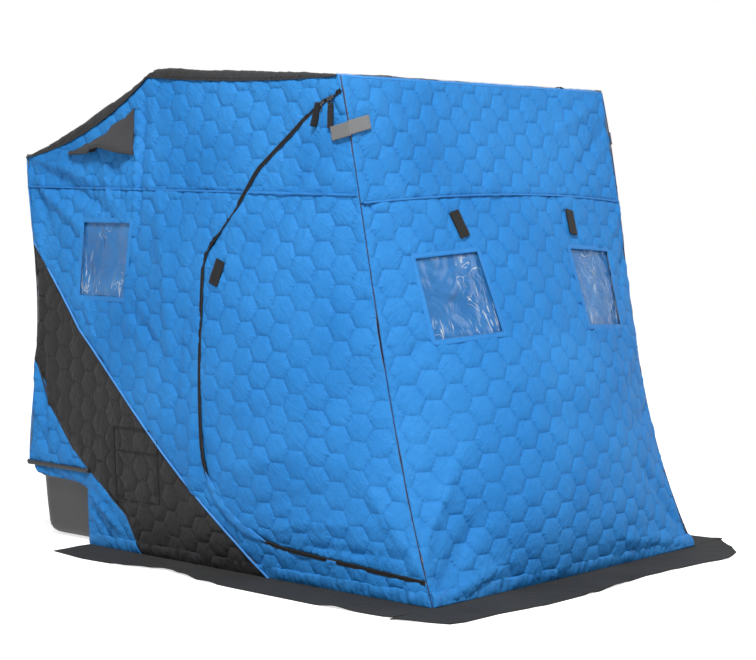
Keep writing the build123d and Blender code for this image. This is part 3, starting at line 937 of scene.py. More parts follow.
SIDE_FOLDS = [
    (1.345, 1.64, 1.36, 1.10, 0.011, -0.007),
    (1.375, 1.62, 1.385, 1.18, 0.009, 0.007),
    (1.405, 1.42, 1.41, 1.15, 0.010, -0.006),
    (1.300, 1.66, 1.28, 1.20, 0.018, 0.005),
    (2.00, 1.39, 1.52, 1.20, 0.026, -0.011),
    (2.00, 1.33, 1.66, 1.13, 0.020, 0.010),
    (2.00, 1.37, 1.86, 1.10, 0.022, -0.009),
    (1.97, 1.40, 1.62, 1.32, 0.018, 0.007),
    (1.56, 1.42, 1.54, 1.22, 0.014, 0.008),
    (1.62, 1.41, 1.66, 1.24, 0.012, -0.007),
    (1.50, 1.42, 1.47, 1.20, 0.012, -0.007),
    (1.46, 1.18, 1.40, 0.86, 0.014, 0.006),
    (1.42, 0.92, 1.20, 0.70, 0.022, -0.008),
    (1.68, 0.91, 1.60, 0.74, 0.014, 0.006),
    (1.98, 1.18, 1.90, 0.98, 0.016, 0.008),
    (1.24, 1.30, 1.16, 0.70, 0.030, 0.008),
    (1.08, 0.92, 1.16, 0.40, 0.024, -0.007),
    (1.02, 0.60, 1.06, 0.20, 0.018, 0.007),
    (1.98, 0.86, 1.95, 0.33, 0.012, 0.009),
    (1.93, 0.72, 1.90, 0.35, 0.010, -0.008),
    (1.89, 0.58, 1.86, 0.34, 0.009, 0.007),
    (2.00, 0.50, 1.88, 0.30, 0.012, -0.006),
    (1.94, 0.27, 1.62, 0.20, 0.009, -0.006),
    (1.66, 0.21, 1.46, 0.07, 0.012, 0.009),
    (1.65, 0.16, 1.52, 0.02, 0.010, -0.008),
    (1.62, 0.24, 1.50, 0.16, 0.009, 0.006),
    (0.42, 1.52, 0.86, 0.98, 0.022, -0.008),
    (0.36, 1.42, 0.70, 0.84, 0.030, 0.007),
    (0.92, 1.36, 0.80, 1.52, 0.022, 0.007),
    (0.95, 0.42, 0.62, 0.62, 0.030, -0.004),
    (0.90, 0.34, 0.55, 0.44, 0.026, 0.004),
    (0.84, 0.24, 0.40, 0.32, 0.020, -0.004),
    (0.74, 0.18, 0.20, 0.24, 0.018, 0.005),
    (0.60, 0.13, 0.10, 0.14, 0.012, -0.007),
    (0.06, 0.10, 0.30, 0.40, 0.024, 0.008),
    (0.04, 0.20, 0.16, 0.62, 0.018, -0.007),
    (0.20, 0.90, 0.52, 0.56, 0.050, 0.007),
]
BACKING = np.array([(1.482, 0.449), (1.223, 0.455), (1.231, 0.197), (1.474, 0.190)])


def across_backing(p):
    """Distance from the line of stitches across the band's backing."""
    return np.where((p[:, 0] > 1.22) & (p[:, 0] < 1.48), p[:, 1] - 0.370, 9.0)


calm_lines = {"door": (side_seam,), "wall_band": (inside_outline(BACKING), across_backing)}
hinge = {joint["child"]: joint for joint in frame["joints"]}


def bend_at_corner(piece, door):
    """Bake the piece's placement into its mesh. The door's side, the corner's lean and a middle point are worked
    out but not used.
    """
    side = 1 if hinge[door]["pos_m"][0] > 0 else -1
    lean = math.atan2(corner_back(FRONT_HEIGHT), FRONT_HEIGHT)
    middle = Vector((side * 0.70, FRONT_Y + 0.80 * math.tan(lean), 0.80))
    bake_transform(piece)


def quilt_slot(cloth):
    return "black_quilt" if cloth in (black_cloth, black_hem) else "blue_quilt"


black_hem = dict(quilt=False, crease=0.9, gloss=0.16)
black_hem = cloth_material("charcoal_hem_cloth", (34, 34, 36), (46, 46, 48), **black_hem)
for side, word in SIDES:
    for k, (panel, (limits, low, high, flat, cloth)) in enumerate(side_panels.items()):
        limits = [lines[limit] for limit in limits.split()]
        sewn_down, puff = calm_lines.get(panel, ()), 0.0030 if panel == "wall_foot" else 0.0062
        name, seed = f"{word}_{panel}_quilt", 3.0 + k + 10 * side
        given = limits, cloth, SIDE_FOLDS, seed, puff
        piece = quilted(name, side_wall(side), low, high, *given, sewn_down=sewn_down)
        finished(piece, quilt_slot(cloth), f"{word}_{panel}", f"{word}_door" if panel == "door" else "hut")

# ---------------------------------------------------------------- the back wall
# One quilted sheet across the rear, blue with the charcoal band carried round it.


def back_at(x, z):
    full = 0.055 * waist(rear_share(z)) * (1 - (x / straight_x(z)) ** 2)
    return np.stack([x, FRONT_Y + rear_back(z) + full, z], -1)


back_wall = (back_at, -1)
back_panels = {
    "upper": ((1.137, 1.425), blue_cloth, 0.30),
    "band": ((0.730, 1.137), black_cloth, 0.42),
    "lower": ((0.275, 0.730), blue_cloth, 0.46),
}
for k, (panel, ((low, high), cloth, tall)) in enumerate(back_panels.items()):
    limits = [
        lambda p: straight_x(p[:, 1]) + 0.001 - np.abs(p[:, 0]),
        lambda p, low=low: p[:, 1] - low + SEWN,
        lambda p, high=high: high + SEWN - p[:, 1],
    ]
    piece = quilted(f"back_{panel}_quilt", back_wall, (-0.74, low), (0.74, high), limits, cloth, seed=30.0 + k)
    finished(piece, quilt_slot(cloth), f"back_wall_{panel}")

# ---------------------------------------------------------------- seams, piping and hems
# The panels are joined by flat felled seams, folded over and stitched down along both edges. A pale
# blue piping follows the top of the charcoal band and a dark one its lower edge. Along the ice the
# cloth is turned up in a pleated hem.


def sewn_tree():
    """A folded strip along a line, its flat side against the cloth, with rows of stitches."""
    floats = ("Width", "Height", "Lift", "Pitch", "Stitch", "Row", "Row lift", "Wobble")
    floats += ("Pleat", "Pleats", "Seed")
    tree, given, out = geometry_tree("sewn_line", floats, Stitched="Bool", Cloth="Material", Thread="Material")
    straight = named(tree, "out", "FLOAT_VECTOR")
    curve = wire(tree, "GeometryNodeMeshToCurve", {"Mesh": given["Geometry"]})
    place = wire(tree, "GeometryNodeInputPosition")
    shake = clouds(tree, {"Vector": place, "W": given["Seed"], "Scale": 14.0}, "4D", "Color")
    shake = shake.vector("SUBTRACT", (0.5, 0.5, 0.5)).scaled(given["Wobble"])
    lift = straight.scaled(given["Lift"]).vector("ADD", shake)
    curve = wire(tree, "GeometryNodeSetPosition", {"Geometry": curve, "Offset": lift})
    curve = wire(tree, "GeometryNodeSetCurveNormal", {"Curve": curve, "Normal": straight}, mode="FREE")
    box = {"Width": given["Height"], "Height": given["Width"]}
    box = wire(tree, "GeometryNodeCurvePrimitiveQuadrilateral", box, mode="RECTANGLE")
    soft = {"Curve": box, "Count": 3, "Radius": given["Height"] * 0.48}
    soft = wire(tree, "GeometryNodeFilletCurve", soft, mode="POLY")
    strip = wire(tree, "GeometryNodeCurveToMesh", {"Curve": curve, "Profile Curve": soft, "Fill Caps": True})
    pleats = clouds(tree, {"Vector": place, "W": given["Seed"], "Scale": given["Pleats"], "Detail": 1.0}, "4D")
    pleats = wire(tree, "GeometryNodeInputNormal").scaled((pleats - 0.5) * given["Pleat"])
    strip = wire(tree, "GeometryNodeSetPosition", {"Geometry": strip, "Offset": pleats})
    thread = {"Vertices": 5, "Radius": 0.0005, "Depth": given["Stitch"]}
    mark = {"Geometry": wire(tree, "GeometryNodeMeshCylinder", thread), "Name": "thread", "Value": True}
    thread = wire(tree, "GeometryNodeStoreNamedAttribute", mark, data_type="BOOLEAN", domain="FACE")
    dots = outputs(tree, "GeometryNodeCurveToPoints", {"Curve": curve, "Length": given["Pitch"]}, mode="LENGTH")
    rows = [strip]
    for side in (-1, 1):
        across = dots["Tangent"].vector("CROSS_PRODUCT", dots["Normal"]).scaled(given["Row"] * side)
        step = across.vector("ADD", dots["Normal"].scaled(given["Row lift"]))
        row = wire(tree, "GeometryNodeSetPosition", {"Geometry": dots["Points"], "Offset": step})
        row = {"Points": row, "Instance": thread, "Rotation": dots["Rotation"]}
        shown = {"Switch": given["Stitched"], "True": wire(tree, "GeometryNodeInstanceOnPoints", row)}
        rows.append(wire(tree, "GeometryNodeSwitch", shown, input_type="GEOMETRY"))
    joined = node(tree, "GeometryNodeJoinGeometry")
    for row in rows:
        fill(joined.inputs, {0: row})
    real = wire(tree, "GeometryNodeRealizeInstances", {"Geometry": Wire(tree, joined.outputs[0])})
    real = wire(tree, "GeometryNodeSetMaterial", {"Geometry": real, "Material": given["Cloth"]})
    picked = {"Geometry": real, "Selection": named(tree, "thread", "BOOLEAN"), "Material": given["Thread"]}
    fill(out, {"Geometry": wire(tree, "GeometryNodeSetMaterial", picked)})
    return tree


sewing = sewn_tree()


def line_mesh(name, points, out, looped=False):
    """A line of edges that knows the way straight out of the cloth at each point."""
    mesh = bpy.data.meshes.new(name)
    edges = [(k, k + 1) for k in range(len(points) - 1)] + ([(len(points) - 1, 0)] if looped else [])
    mesh.from_pydata(np.asarray(points).tolist(), edges, [])
    attribute(mesh, "out", out, "FLOAT_VECTOR")
    return mesh


def sewn(
    name, laid, slot, width, height, cloth, thread=None, looped=False, body="hut", stands_for=None, **more
):
    """A sewn strip, hem or piping along points, whose outer side faces along the directions with them."""
    given = {"Width": width, "Height": height, "Lift": 0.003, "Pitch": 0.006, "Stitch": 0.0042, "Row": 0.0}
    given.update({"Row lift": height / 2 + 0.0002, "Wobble": 0.0012, "Pleat": 0.0, "Pleats": 40.0, "Seed": 1.0})
    given.update({"Stitched": thread is not None, "Cloth": cloth, "Thread": thread or cloth})
    given.update({key.capitalize(): value for key, value in more.items()})
    made = shaped(name, line_mesh(name, *laid, looped), sewing, given)
    for polygon in made.data.polygons:
        polygon.use_smooth = True
    return finished(made, slot, stands_for, body)


def on_wall(wall, plan, spacing=0.010):
    """A plan line laid on a wall: its points and the directions straight out of it."""
    return outward(wall, spaced(plan, spacing))


def over_folds(wall, plan, strokes):
    """A plan line laid on a folded wall."""
    points, out = on_wall(wall, plan)
    return points + out * folds(spaced(plan, 0.010), strokes)[:, None], out


def part_of(line, test):
    """The longest run of a line's points that pass a test."""
    runs, start = [], None
    for k, flag in enumerate([*test(line), False]):
        if flag and start is None:
            start = k
        if not flag and start is not None:
            runs.append((start, k))
            start = None
    start, end = max(runs, key=lambda run: run[1] - run[0])
    return line[start:end]


def two_sided(name, front, back, size, turned, flat, material):
    """A thin sheet through two grids of points, closed round its edge, with its flat measures as its UV."""
    n, m = size
    corners = [(i * m + j, (i + 1) * m + j) for i in range(n - 1) for j in range(m - 1)]
    faces = [(a, b, b + 1, a + 1)[:: -1 if turned else 1] for a, b in corners]
    both = closed(faces, n * m)
    mesh = bpy.data.meshes.new(name)
    mesh.from_pydata(np.concatenate([front, back]).tolist(), [], both)
    mesh.polygons.foreach_set("use_smooth", [k < 2 * len(faces) for k in range(len(both))])
    uv = np.tile(flat, (2, 1))[corner_points(mesh)]
    mesh.uv_layers.new(name="cloth").data.foreach_set("uv", uv.astype(np.float32).ravel())
    return object_of(name, mesh, material)


def shell(name, grid, thick, out, material):
    """A sheet of cloth through a grid of points, its thickness laid away from out."""
    n, m = grid.shape[:2]
    across, up = np.gradient(grid, axis=0), np.gradient(grid, axis=1)
    normal = np.cross(across, up)
    normal /= np.linalg.norm(normal, axis=2)[..., None] + 1e-12
    turned = (normal[n // 2, m // 2] * np.asarray(out)).sum() < 0
    normal = -normal if turned else normal
    widths = np.linalg.norm(across[:, m // 2], axis=1).cumsum()
    heights = np.linalg.norm(up[n // 2], axis=1).cumsum()
    flat = np.stack(np.meshgrid(widths, heights, indexing="ij"), -1).reshape(-1, 2)
    front, back = grid.reshape(-1, 3), (grid - normal * thick).reshape(-1, 3)
    return two_sided(name, front, back, (n, m), turned, flat, material)


def pleated(name, wall, start, end, out, cloth, seed):
    """A gathered hem: a soft channel along the ice between two slanting ends, pleated by its draw tape."""
    t = np.linspace(0, 1, 14)
    z = 0.003 + 0.045 * t
    first, last = start(z), end(z)
    count = int(abs(last - first).max() / 0.0042) + 2
    share = np.linspace(0, 1, count)[:, None]
    plan = np.stack([first + (last - first) * share, np.tile(z, (count, 1))], -1).reshape(-1, 2)
    here, straight = outward(wall, plan)
    crown = np.tile(np.sin(np.pi * np.clip(t * 0.92 + 0.06, 0, 1)) ** 0.7, count)
    pleats = [Vector((a * 52, b * 14, seed)) for a, b in plan]
    broad = [Vector((a * 19, b * 9, seed)) for a, b in plan]
    fine = np.array([noise.noise(p) + 0.7 * noise.noise(q) for p, q in zip(pleats, broad)])
    proud = 0.0042 + crown * (0.0050 + 0.0062 * fine)
    here = here + straight * np.maximum(proud, 0.0026)[:, None]
    wave = np.array([noise.noise(Vector((a * 30, 0, seed))) for a in plan[:, 0]])
    here[:, 2] += 0.004 * wave * np.tile(t, count)
    made = shell(name, here.reshape(count, len(t), 3), 0.0022, out, cloth)
    return finished(made, quilt_slot(cloth))


def plain_cloth(name, deep, light, crease=0, **more):
    """The material of a strip or small sheet that isn't quilted."""
    return cloth_material(name, deep, light, quilt=False, crease=crease, **more)


def band_start(z):
    return 0.714 + z * 0.986 / 0.787


def band_end(z):
    return 1.359 + z * 0.071 / 0.135


blue_thread = plain_cloth("blue_thread", (20, 84, 160), (60, 140, 210))
dark_thread = plain_cloth("dark_thread", (20, 20, 22), (40, 40, 43))
blue_tape = plain_cloth("blue_seam_cloth", (36, 117, 187), (54, 135, 205), 0.8, sheen=0.0, gloss=0.16)
pale_piping = plain_cloth("pale_blue_piping", (52, 128, 202), (80, 150, 216), 0.3)
# A cord along each front corner seam, made dark navy as painted shade for the groove where the puffed front and
# side panels meet.
groove_shade_cord = plain_cloth("navy_piping", (18, 34, 66), (34, 56, 96), 0.3)
backing_thread = plain_cloth("black_backing_seam", (18, 18, 19), (26, 26, 27), gloss=0.1)
black_tape = plain_cloth("black_webbing", (16, 16, 18), (28, 28, 30), 0.4, threads=700, rough=0.7)
side_hems = (
    (lambda z: corner_back(z) + 0.003, lambda z: band_start(z) - 0.002, blue_tape),
    (lambda z: band_start(z) + 0.002, lambda z: band_end(z) - 0.002, black_hem),
    (lambda z: band_end(z) + 0.002, lambda z: 1.648 + 0 * z, blue_tape),
)
rear_cords = ((0.280, 0.735, blue_tape), (0.737, 1.130, dark_thread), (1.132, 1.410, blue_tape))
seam_size = dict(width=0.0075, height=0.0034, cloth=blue_tape, thread=blue_thread, row=0.0026, lift=0.0045)
dark_piping = dict(width=0.006, height=0.005, cloth=dark_thread, lift=0.002, wobble=0.002)
backed = dict(width=0.0030, height=0.0022, cloth=backing_thread, lift=0.0040, wobble=0.0)
cord_size = dict(width=0.006, height=0.006, lift=-0.001, wobble=0.001)
backing_runs = BACKING[[0, 1, 2, 3, 0]], ((1.479, 0.368), (1.226, 0.372))
backs, levels = np.linspace(0.20, 2.10, 400), np.linspace(0.004, 1.652, 150)
long_seam = np.stack([backs, side_seam_height(backs)], -1)
front_edge = np.stack([corner_back(levels), levels], -1)
on_side = lambda p: np.minimum(lines["rear"](p), p[:, 1] - CUT) > 0


def between(out, other):
    """Directions half way between two others."""
    out = out + other
    return out / np.linalg.norm(out, axis=1)[:, None]


for side, word in SIDES:
    wall, door = side_wall(side), f"{word}_door"
    door_run = part_of(long_seam, lambda p: np.minimum(lines["front"](p) - 0.002, zip_side(p) - 0.012) > 0)
    wall_run = part_of(long_seam, lambda p: np.minimum(lines["rear"](p), -zip_side(p) - 0.012) > 0)
    sewn(f"{word}_door_seam", over_folds(wall, door_run, SIDE_FOLDS), "blue_quilt", body=door, **seam_size)
    sewn(f"{word}_wall_seam", over_folds(wall, wall_run, SIDE_FOLDS), "blue_quilt", **seam_size)
    laid, out = on_wall(wall, part_of(spaced(BAND_TOP, 0.008), on_side))
    over_hem = np.clip((0.110 - laid[:, 2]) / 0.05, 0, 1)[:, None]
    laid = laid + over_hem * (out * 0.006 + np.array((0, -0.005, 0)))
    sewn(f"{word}_band_piping", (laid, out), "edging", 0.008, 0.006, pale_piping, lift=0.003, wobble=0.002)
    for k, run in enumerate(backing_runs):
        sewn(f"{word}_band_backing_seam_{k + 1}", over_folds(wall, run, SIDE_FOLDS), "black_quilt", **backed)
    low_run = part_of(spaced(BAND_LOW, 0.008), on_side)
    sewn(f"{word}_band_low_piping", on_wall(wall, low_run), "edging", **dark_piping)
    corner, out = on_wall(wall, front_edge)
    straight = outward(front_wall, np.stack([side * corner_x(corner[:, 2]), corner[:, 2]], -1))[1]
    laid = corner, between(out, straight)
    # The corner cord's dark colour is painted shade for the corner groove.
    sewn(f"{word}_corner_cord", laid, "edging", 0.0034, 0.0034, groove_shade_cord, lift=-0.0010, wobble=0.001)
    for k, (start, end, cloth) in enumerate(side_hems):
        pleated(f"{word}_hem_{k + 1}", wall, start, end, (side, 0, 0), cloth, 4.0 + k)
    for k, (low, high, cloth) in enumerate(rear_cords):
        heights = np.linspace(low, high, 60)
        corner, out = on_wall(wall, np.stack([rear_back(heights), heights], -1))
        sewn(f"{word}_rear_cord_{k + 1}", (corner, between(out, (0, 1, 0))), "edging", cloth=cloth, **cord_size)

across = np.linspace(-0.700, 0.700, 160)
run = np.stack([across, front_seam_height(across)], -1)
run = part_of(run, lambda p: np.abs(p[:, 0]) < corner_x(p[:, 1]) - 0.004)
sewn("front_seam", over_folds(front_wall, run, FRONT_FOLDS), "blue_quilt", **seam_size)
hem_ends = lambda z: 0.003 - corner_x(z), lambda z: corner_x(z) - 0.003
pleated("front_hem", front_wall, *hem_ends, (0, -1, 0), blue_tape, 9.0)
for word, level, cloth in (("top", 1.137, pale_piping), ("low", 0.730, dark_thread)):
    reach = float(straight_x(level)) - 0.004
    laid = on_wall(back_wall, [(-reach, level), (reach, level)])
    sewn(f"back_band_{word}_seam", laid, "edging", width=0.007, height=0.006, cloth=cloth, lift=0.003)

# ---------------------------------------------------------------- the zips
# A coil zip runs round each door: one woven tape is sewn to the door and one to the wall, and two
# sliders meet near the top, each with a folded strip of black webbing to pull it by.


def offset_line(line, distance):
    """A plan line moved sideways, towards the door when distance is above 0."""
    along = np.gradient(line, axis=0)
    across = np.stack([along[:, 1], -along[:, 0]], -1) / np.linalg.norm(along, axis=1)[:, None]
    moved = line + across * distance
    return moved if np.mean(zip_side(moved)) * distance > 0 else line - across * distance


def teeth_tree():
    """Short rounded coils laid across a line, one after another."""
    floats = ("Pitch", "Across", "Thick", "Aside", "Lift")
    tree, given, out = geometry_tree("zip_teeth", floats, Coil="Material")
    curve = wire(tree, "GeometryNodeMeshToCurve", {"Mesh": given["Geometry"]})
    straight = named(tree, "out", "FLOAT_VECTOR")
    curve = wire(tree, "GeometryNodeSetCurveNormal", {"Curve": curve, "Normal": straight}, mode="FREE")
    dots = outputs(tree, "GeometryNodeCurveToPoints", {"Curve": curve, "Length": given["Pitch"]}, mode="LENGTH")
    across = dots["Tangent"].vector("CROSS_PRODUCT", dots["Normal"])
    step = across.scaled(given["Aside"]).vector("ADD", dots["Normal"].scaled(given["Lift"]))
    row = wire(tree, "GeometryNodeSetPosition", {"Geometry": dots["Points"], "Offset": step})
    turn = {"Primary Axis": across, "Secondary Axis": dots["Normal"]}
    turn = wire(tree, "FunctionNodeAxesToRotation", turn, primary_axis="Z", secondary_axis="X")
    coil = {"Vertices": 6, "Radius": given["Thick"], "Depth": given["Across"]}
    coil = {"Points": row, "Instance": wire(tree, "GeometryNodeMeshCylinder", coil), "Rotation": turn}
    real = wire(tree, "GeometryNodeInstanceOnPoints", coil)
    real = wire(tree, "GeometryNodeRealizeInstances", {"Geometry": real})
    coat = {"Geometry": real, "Material": given["Coil"]}
    fill(out, {"Geometry": wire(tree, "GeometryNodeSetMaterial", coat)})
    return tree


def hard_material(name, deep, light, rough, metal=0.0, grain=0.0004, scale=60.0, coat=0.0, gloss=0.5):
    """Moulded or painted goods: two close shades, a fine grain and duller rubbed patches."""
    made, tree, shader = new_material(name)
    place = wire(tree, "ShaderNodeTexCoord", output="Object")
    worn = group(tree, wear, {"Vector": place, "Size": 4.0})
    fine = clouds(tree, {"Vector": place, "Scale": scale, "Detail": 4.0})
    shade = mixed(worn["Patches"], colour(*deep), colour(*light))
    height = worn["Specks"] * (grain * 0.5) + fine * grain
    fill(shader, {"Base Color": shade, "Normal": bumped(height), "Roughness": worn["Patches"] * 0.14 + rough})
    fill(shader, {"Metallic": metal, "Specular IOR Level": gloss, "Coat Weight": coat})
    return made


coiled = teeth_tree()
coil_nylon = hard_material("black_coil_nylon", (14, 14, 16), (26, 26, 29), 0.85, grain=0.0001, gloss=0.05)
painted_metal = hard_material("black_painted_metal", (26, 26, 28), (52, 52, 55), 0.34, grain=0.00015, coat=0.3)


def turned_plan(centre, plan, tilt):
    """A flat shape turned by an angle in degrees and put in its place."""
    turn, a, b = math.radians(tilt), plan[:, 0], plan[:, 1]
    across, up = a * math.cos(turn) - b * math.sin(turn), a * math.sin(turn) + b * math.cos(turn)
    return np.stack([centre[0] + across, centre[1] + up], -1)


def patch(name, wall, centre, size, tilt, lift, thick, material, wave=0.0, twist=0.0, seed=0.0, fine=0.006):
    """A flat strip of tape or webbing with rounded corners, laid on a wall or twisted out of it."""
    counts = [max(4, int(round(s / fine))) for s in size]
    u, v = np.meshgrid(*(np.linspace(-1, 1, count + 1) for count in counts), indexing="ij")
    corner = 1 - 0.07 * min(size) / max(size) * (np.abs(u * v)) ** 12
    across, up = (u * size[0] / 2 * corner).ravel(), (v * size[1] / 2 * corner).ravel()
    roll = math.radians(twist)
    here, out = outward(wall, turned_plan(centre, np.stack([across * math.cos(roll), up], -1), tilt))
    ripple = np.array([noise.noise(Vector((a * 30, b * 30, seed))) for a, b in zip(across, up)])
    height = lift + across * math.sin(roll) + size[0] / 2 * abs(math.sin(roll)) + wave * ripple
    front, back = (here + out * (height + part)[:, None] for part in (thick / 2, -thick / 2))
    return two_sided(name, front, back, u.shape, wall[1] < 0, np.stack([across, up], -1), material)


def block(name, centre, size, axes, bevel, material, taper=1.0):
    """A small hard piece with rounded edges, its length along axes[1], narrower at one end."""
    shape = bmesh.new()
    bmesh.ops.create_cube(shape, size=1.0)
    for vert in shape.verts:
        x, y, z = vert.co
        vert.co = Vector((x * size[0] * (taper if y > 0 else 1), y * size[1], z * size[2]))
    bmesh.ops.bevel(shape, geom=shape.edges[:], offset=bevel, segments=3, profile=0.6, affect="EDGES")
    for vert in shape.verts:
        vert.co = Vector(centre) + sum((Vector(axis) * c for axis, c in zip(axes, vert.co)), Vector())
    bmesh.ops.recalc_face_normals(shape, faces=shape.faces)
    mesh = bpy.data.meshes.new(name)
    shape.to_mesh(mesh)
    shape.free()
    mesh.polygons.foreach_set("use_smooth", [True] * len(mesh.polygons))
    return object_of(name, mesh, material)


TAPE_OFFSET, COIL_OFFSET = 0.0036, 0.0012
# Each pull: where its middle is, its tilt and twist in degrees, and where its slider is.
PULLS = (((0.446, 1.528), 2, 0, (0.446, 1.584)), ((0.500, 1.532), 16, 62, (0.488, 1.566)))
tape_size = dict(width=0.0078, height=0.0022, cloth=black_tape, thread=dark_thread, row=0.0016, lift=0.0032)
coil_size = {"Pitch": 0.0042, "Across": 0.0026, "Thick": 0.0012, "Lift": 0.0040, "Coil": coil_nylon}
ring_size = dict(width=0.0026, height=0.0026, cloth=painted_metal, lift=0.0, wobble=0.0, looped=True)
around = np.linspace(0, 2 * math.pi, 17)[:-1, None]
for side, word in SIDES:
    wall, door = side_wall(side), f"{word}_door"
    for kind, body, toward in (("door", door, 1), ("wall", "hut", -1)):
        tape = part_of(offset_line(zip_line, toward * TAPE_OFFSET), lambda p: lines["front"](p) + 0.003 > 0)
        made = sewn(f"{word}_{kind}_zip_tape", on_wall(wall, tape, 0.008), "zip", body=body, **tape_size)
        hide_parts(f"{word}_{kind}_zip")
        run = part_of(zip_line, lambda p: lines["front"](p) > 0)
        run = line_mesh("coil_line", *on_wall(wall, run, 0.008))
        given = {**coil_size, "Aside": COIL_OFFSET * toward * side}
        finished(shaped(f"{word}_{kind}_zip_coil", run, coiled, given), "zip", body=body)
    for k, (centre, tilt, twist, head) in enumerate(PULLS):
        name, size = f"{word}_zip_pull_{k + 1}", (0.022, 0.080)
        made = patch(name, wall, centre, size, tilt, 0.009, 0.0042, black_tape, 0.002, twist, k)
        finished(made, "zip", body=door)
        here, out = outward(wall, np.array([head, (head[0] - 0.01, head[1] + 0.0046)]))
        along = (here[1] - here[0]) / np.linalg.norm(here[1] - here[0])
        middle, axes = here[0] + out[0] * 0.008, (np.cross(along, out[0]), along, out[0])
        name, size = f"{word}_zip_slider_{k + 1}", (0.015, 0.030, 0.010)
        finished(block(name, middle, size, axes, 0.0032, painted_metal, 0.7), "zip", body=door)
        hang = here[0] + out[0] * 0.0135 + np.array((0, 0, -0.012))
        ring = np.cos(around) * np.array((0, 0.008, 0)) + np.sin(around) * np.array((0, 0, 0.013))
        sewn(f"{word}_zip_ring_{k + 1}", (hang + ring, ring), "zip", body=door, **ring_size)

# ---------------------------------------------------------------- hook tabs and reflective patches
# A black hook tab above each front window and beside each door zip holds a rolled cover or the open
# door. A grey reflective patch lies at each front corner just under the sliders, wrapping round the left one.
TAB = (0.046, 0.088)
reflective = plain_cloth("grey_reflective_tape", (102, 103, 104), (118, 119, 120), 0.5, threads=420, rough=0.5)
hooks = dict(threads=260, rough=0.85, crease=0.2, thread_height=0.0005)
hooks = cloth_material("black_hook_tape", (14, 14, 15), (28, 28, 30), **hooks)


def laid_grid(wall, a, b, lift):
    """A grid of plan points laid on a wall and lifted off it."""
    here, out = outward(wall, np.stack([a, b], -1).reshape(-1, 2))
    return (here + out * np.reshape(lift, (-1, 1))).reshape(*a.shape, 3)


def hook_tab(name, wall, place, tilt, seed, stands_for=None, body="hut"):
    """A strip of hook tape sewn on flat."""
    made = patch(name, wall, place, TAB, tilt, 0.0080, 0.003, hooks, 0.002, 0, seed)
    finished(made, "hook_tape", stands_for, body)


u, v = np.meshgrid(np.linspace(0, 1, 22), np.linspace(0, 1, 12), indexing="ij")
for side, word in SIDES:
    place, tilt, stands_for = (side * 0.305, 1.178), 15 if side < 0 else -10, "front_tabs" if side < 0 else None
    hook_tab(f"front_{word}_tab", front_wall, place, tilt, side, stands_for)
    hook_tab(
        f"{word}_door_tab_strip", side_wall(side), (0.924, 1.015), 20, 5, f"{word}_door_tab", f"{word}_door"
    )
    if side < 0:
        z = 1.463 + 0.045 * v + 0.022 * u
        grid = laid_grid(front_wall, side * (corner_x(z) + 0.012 - 0.100 * u), z, 0.0125)
        made = shell(f"front_{word}_patch", grid, 0.0016, (0, -1, 0), reflective)
        finished(made, "reflective", "corner_patches")
    z = 1.463 + 0.045 * v - 0.016 * u
    start, reach = (-0.012, 0.082) if side < 0 else (0.003, 0.067)
    grid = laid_grid(side_wall(side), corner_back(z) + start + reach * u, z, 0.0125)
    made = shell(f"{word}_door_patch", grid, 0.0016, (side, 0, 0), reflective)
    finished(made, "reflective", body=f"{word}_door")

# ---------------------------------------------------------------- the windows
# Clear vinyl film, slack enough to wrinkle, behind a blue border sewn down with two rows.


def film_material():
    """Clear vinyl with soft waves, and painted highlights: white on a few sharp creases and pale streaks by its
    lower and one upright edge.
    """
    made, tree, shader = new_material("clear_window_film")
    place = wire(tree, "ShaderNodeTexCoord", output="Object")
    cloth = wire(tree, "ShaderNodeUVMap", uv_map="cloth")
    worn = group(tree, wear, {"Vector": place, "Size": 6.0})
    # Painted light: the film's blue colour stands in for the blue-lit inside of the hut seen through it.
    shade = mixed(worn["Patches"], colour(50, 130, 200), colour(80, 156, 220))
    waves = clouds(tree, {"Vector": place, "Scale": 11.0, "Detail": 2.0, "Distortion": 0.7})
    creased = clouds(tree, {"Vector": place, "Scale": 13.0, "Detail": 2.5, "Distortion": 1.1})
    spots = clouds(tree, {"Vector": place, "Scale": 7.0, "Detail": 1.0})
    # Painted highlights: thin white lines on sharp creases, and pale streaks by the lower and one upright edge.
    creases = ramp(abs(creased - 0.5), 0.012, 0.001) * ramp(spots, 0.54, 0.62)
    spread = outputs(tree, "ShaderNodeSeparateXYZ", {0: cloth})
    pulled = cloth.vector("MULTIPLY", (1.0, 0.16, 1))
    pulled = clouds(tree, {"Vector": pulled, "Scale": 95.0, "Detail": 2.0, "Distortion": 0.4})
    by_edge = ramp(spread["X"].done("MAXIMUM", spread["Y"] * -1.0), 0.060, 0.100)
    painted_streak_highlights = ramp(pulled, 0.58, 0.66) * by_edge * ramp(spread["Y"], 0.07, -0.02)
    # The painted highlights are mixed in as near-white over the film's colour.
    shade = mixed(creases.done("MAXIMUM", painted_streak_highlights), shade, colour(226, 236, 244))
    fill(shader, {"Base Color": shade, "Normal": bumped(waves * 0.017)})
    fill(shader, {"Roughness": worn["Patches"] * 0.08 + 0.10, "Transmission Weight": 0.50, "IOR": 1.30})
    return made


film = film_material()
ALLOWANCE = 0.030


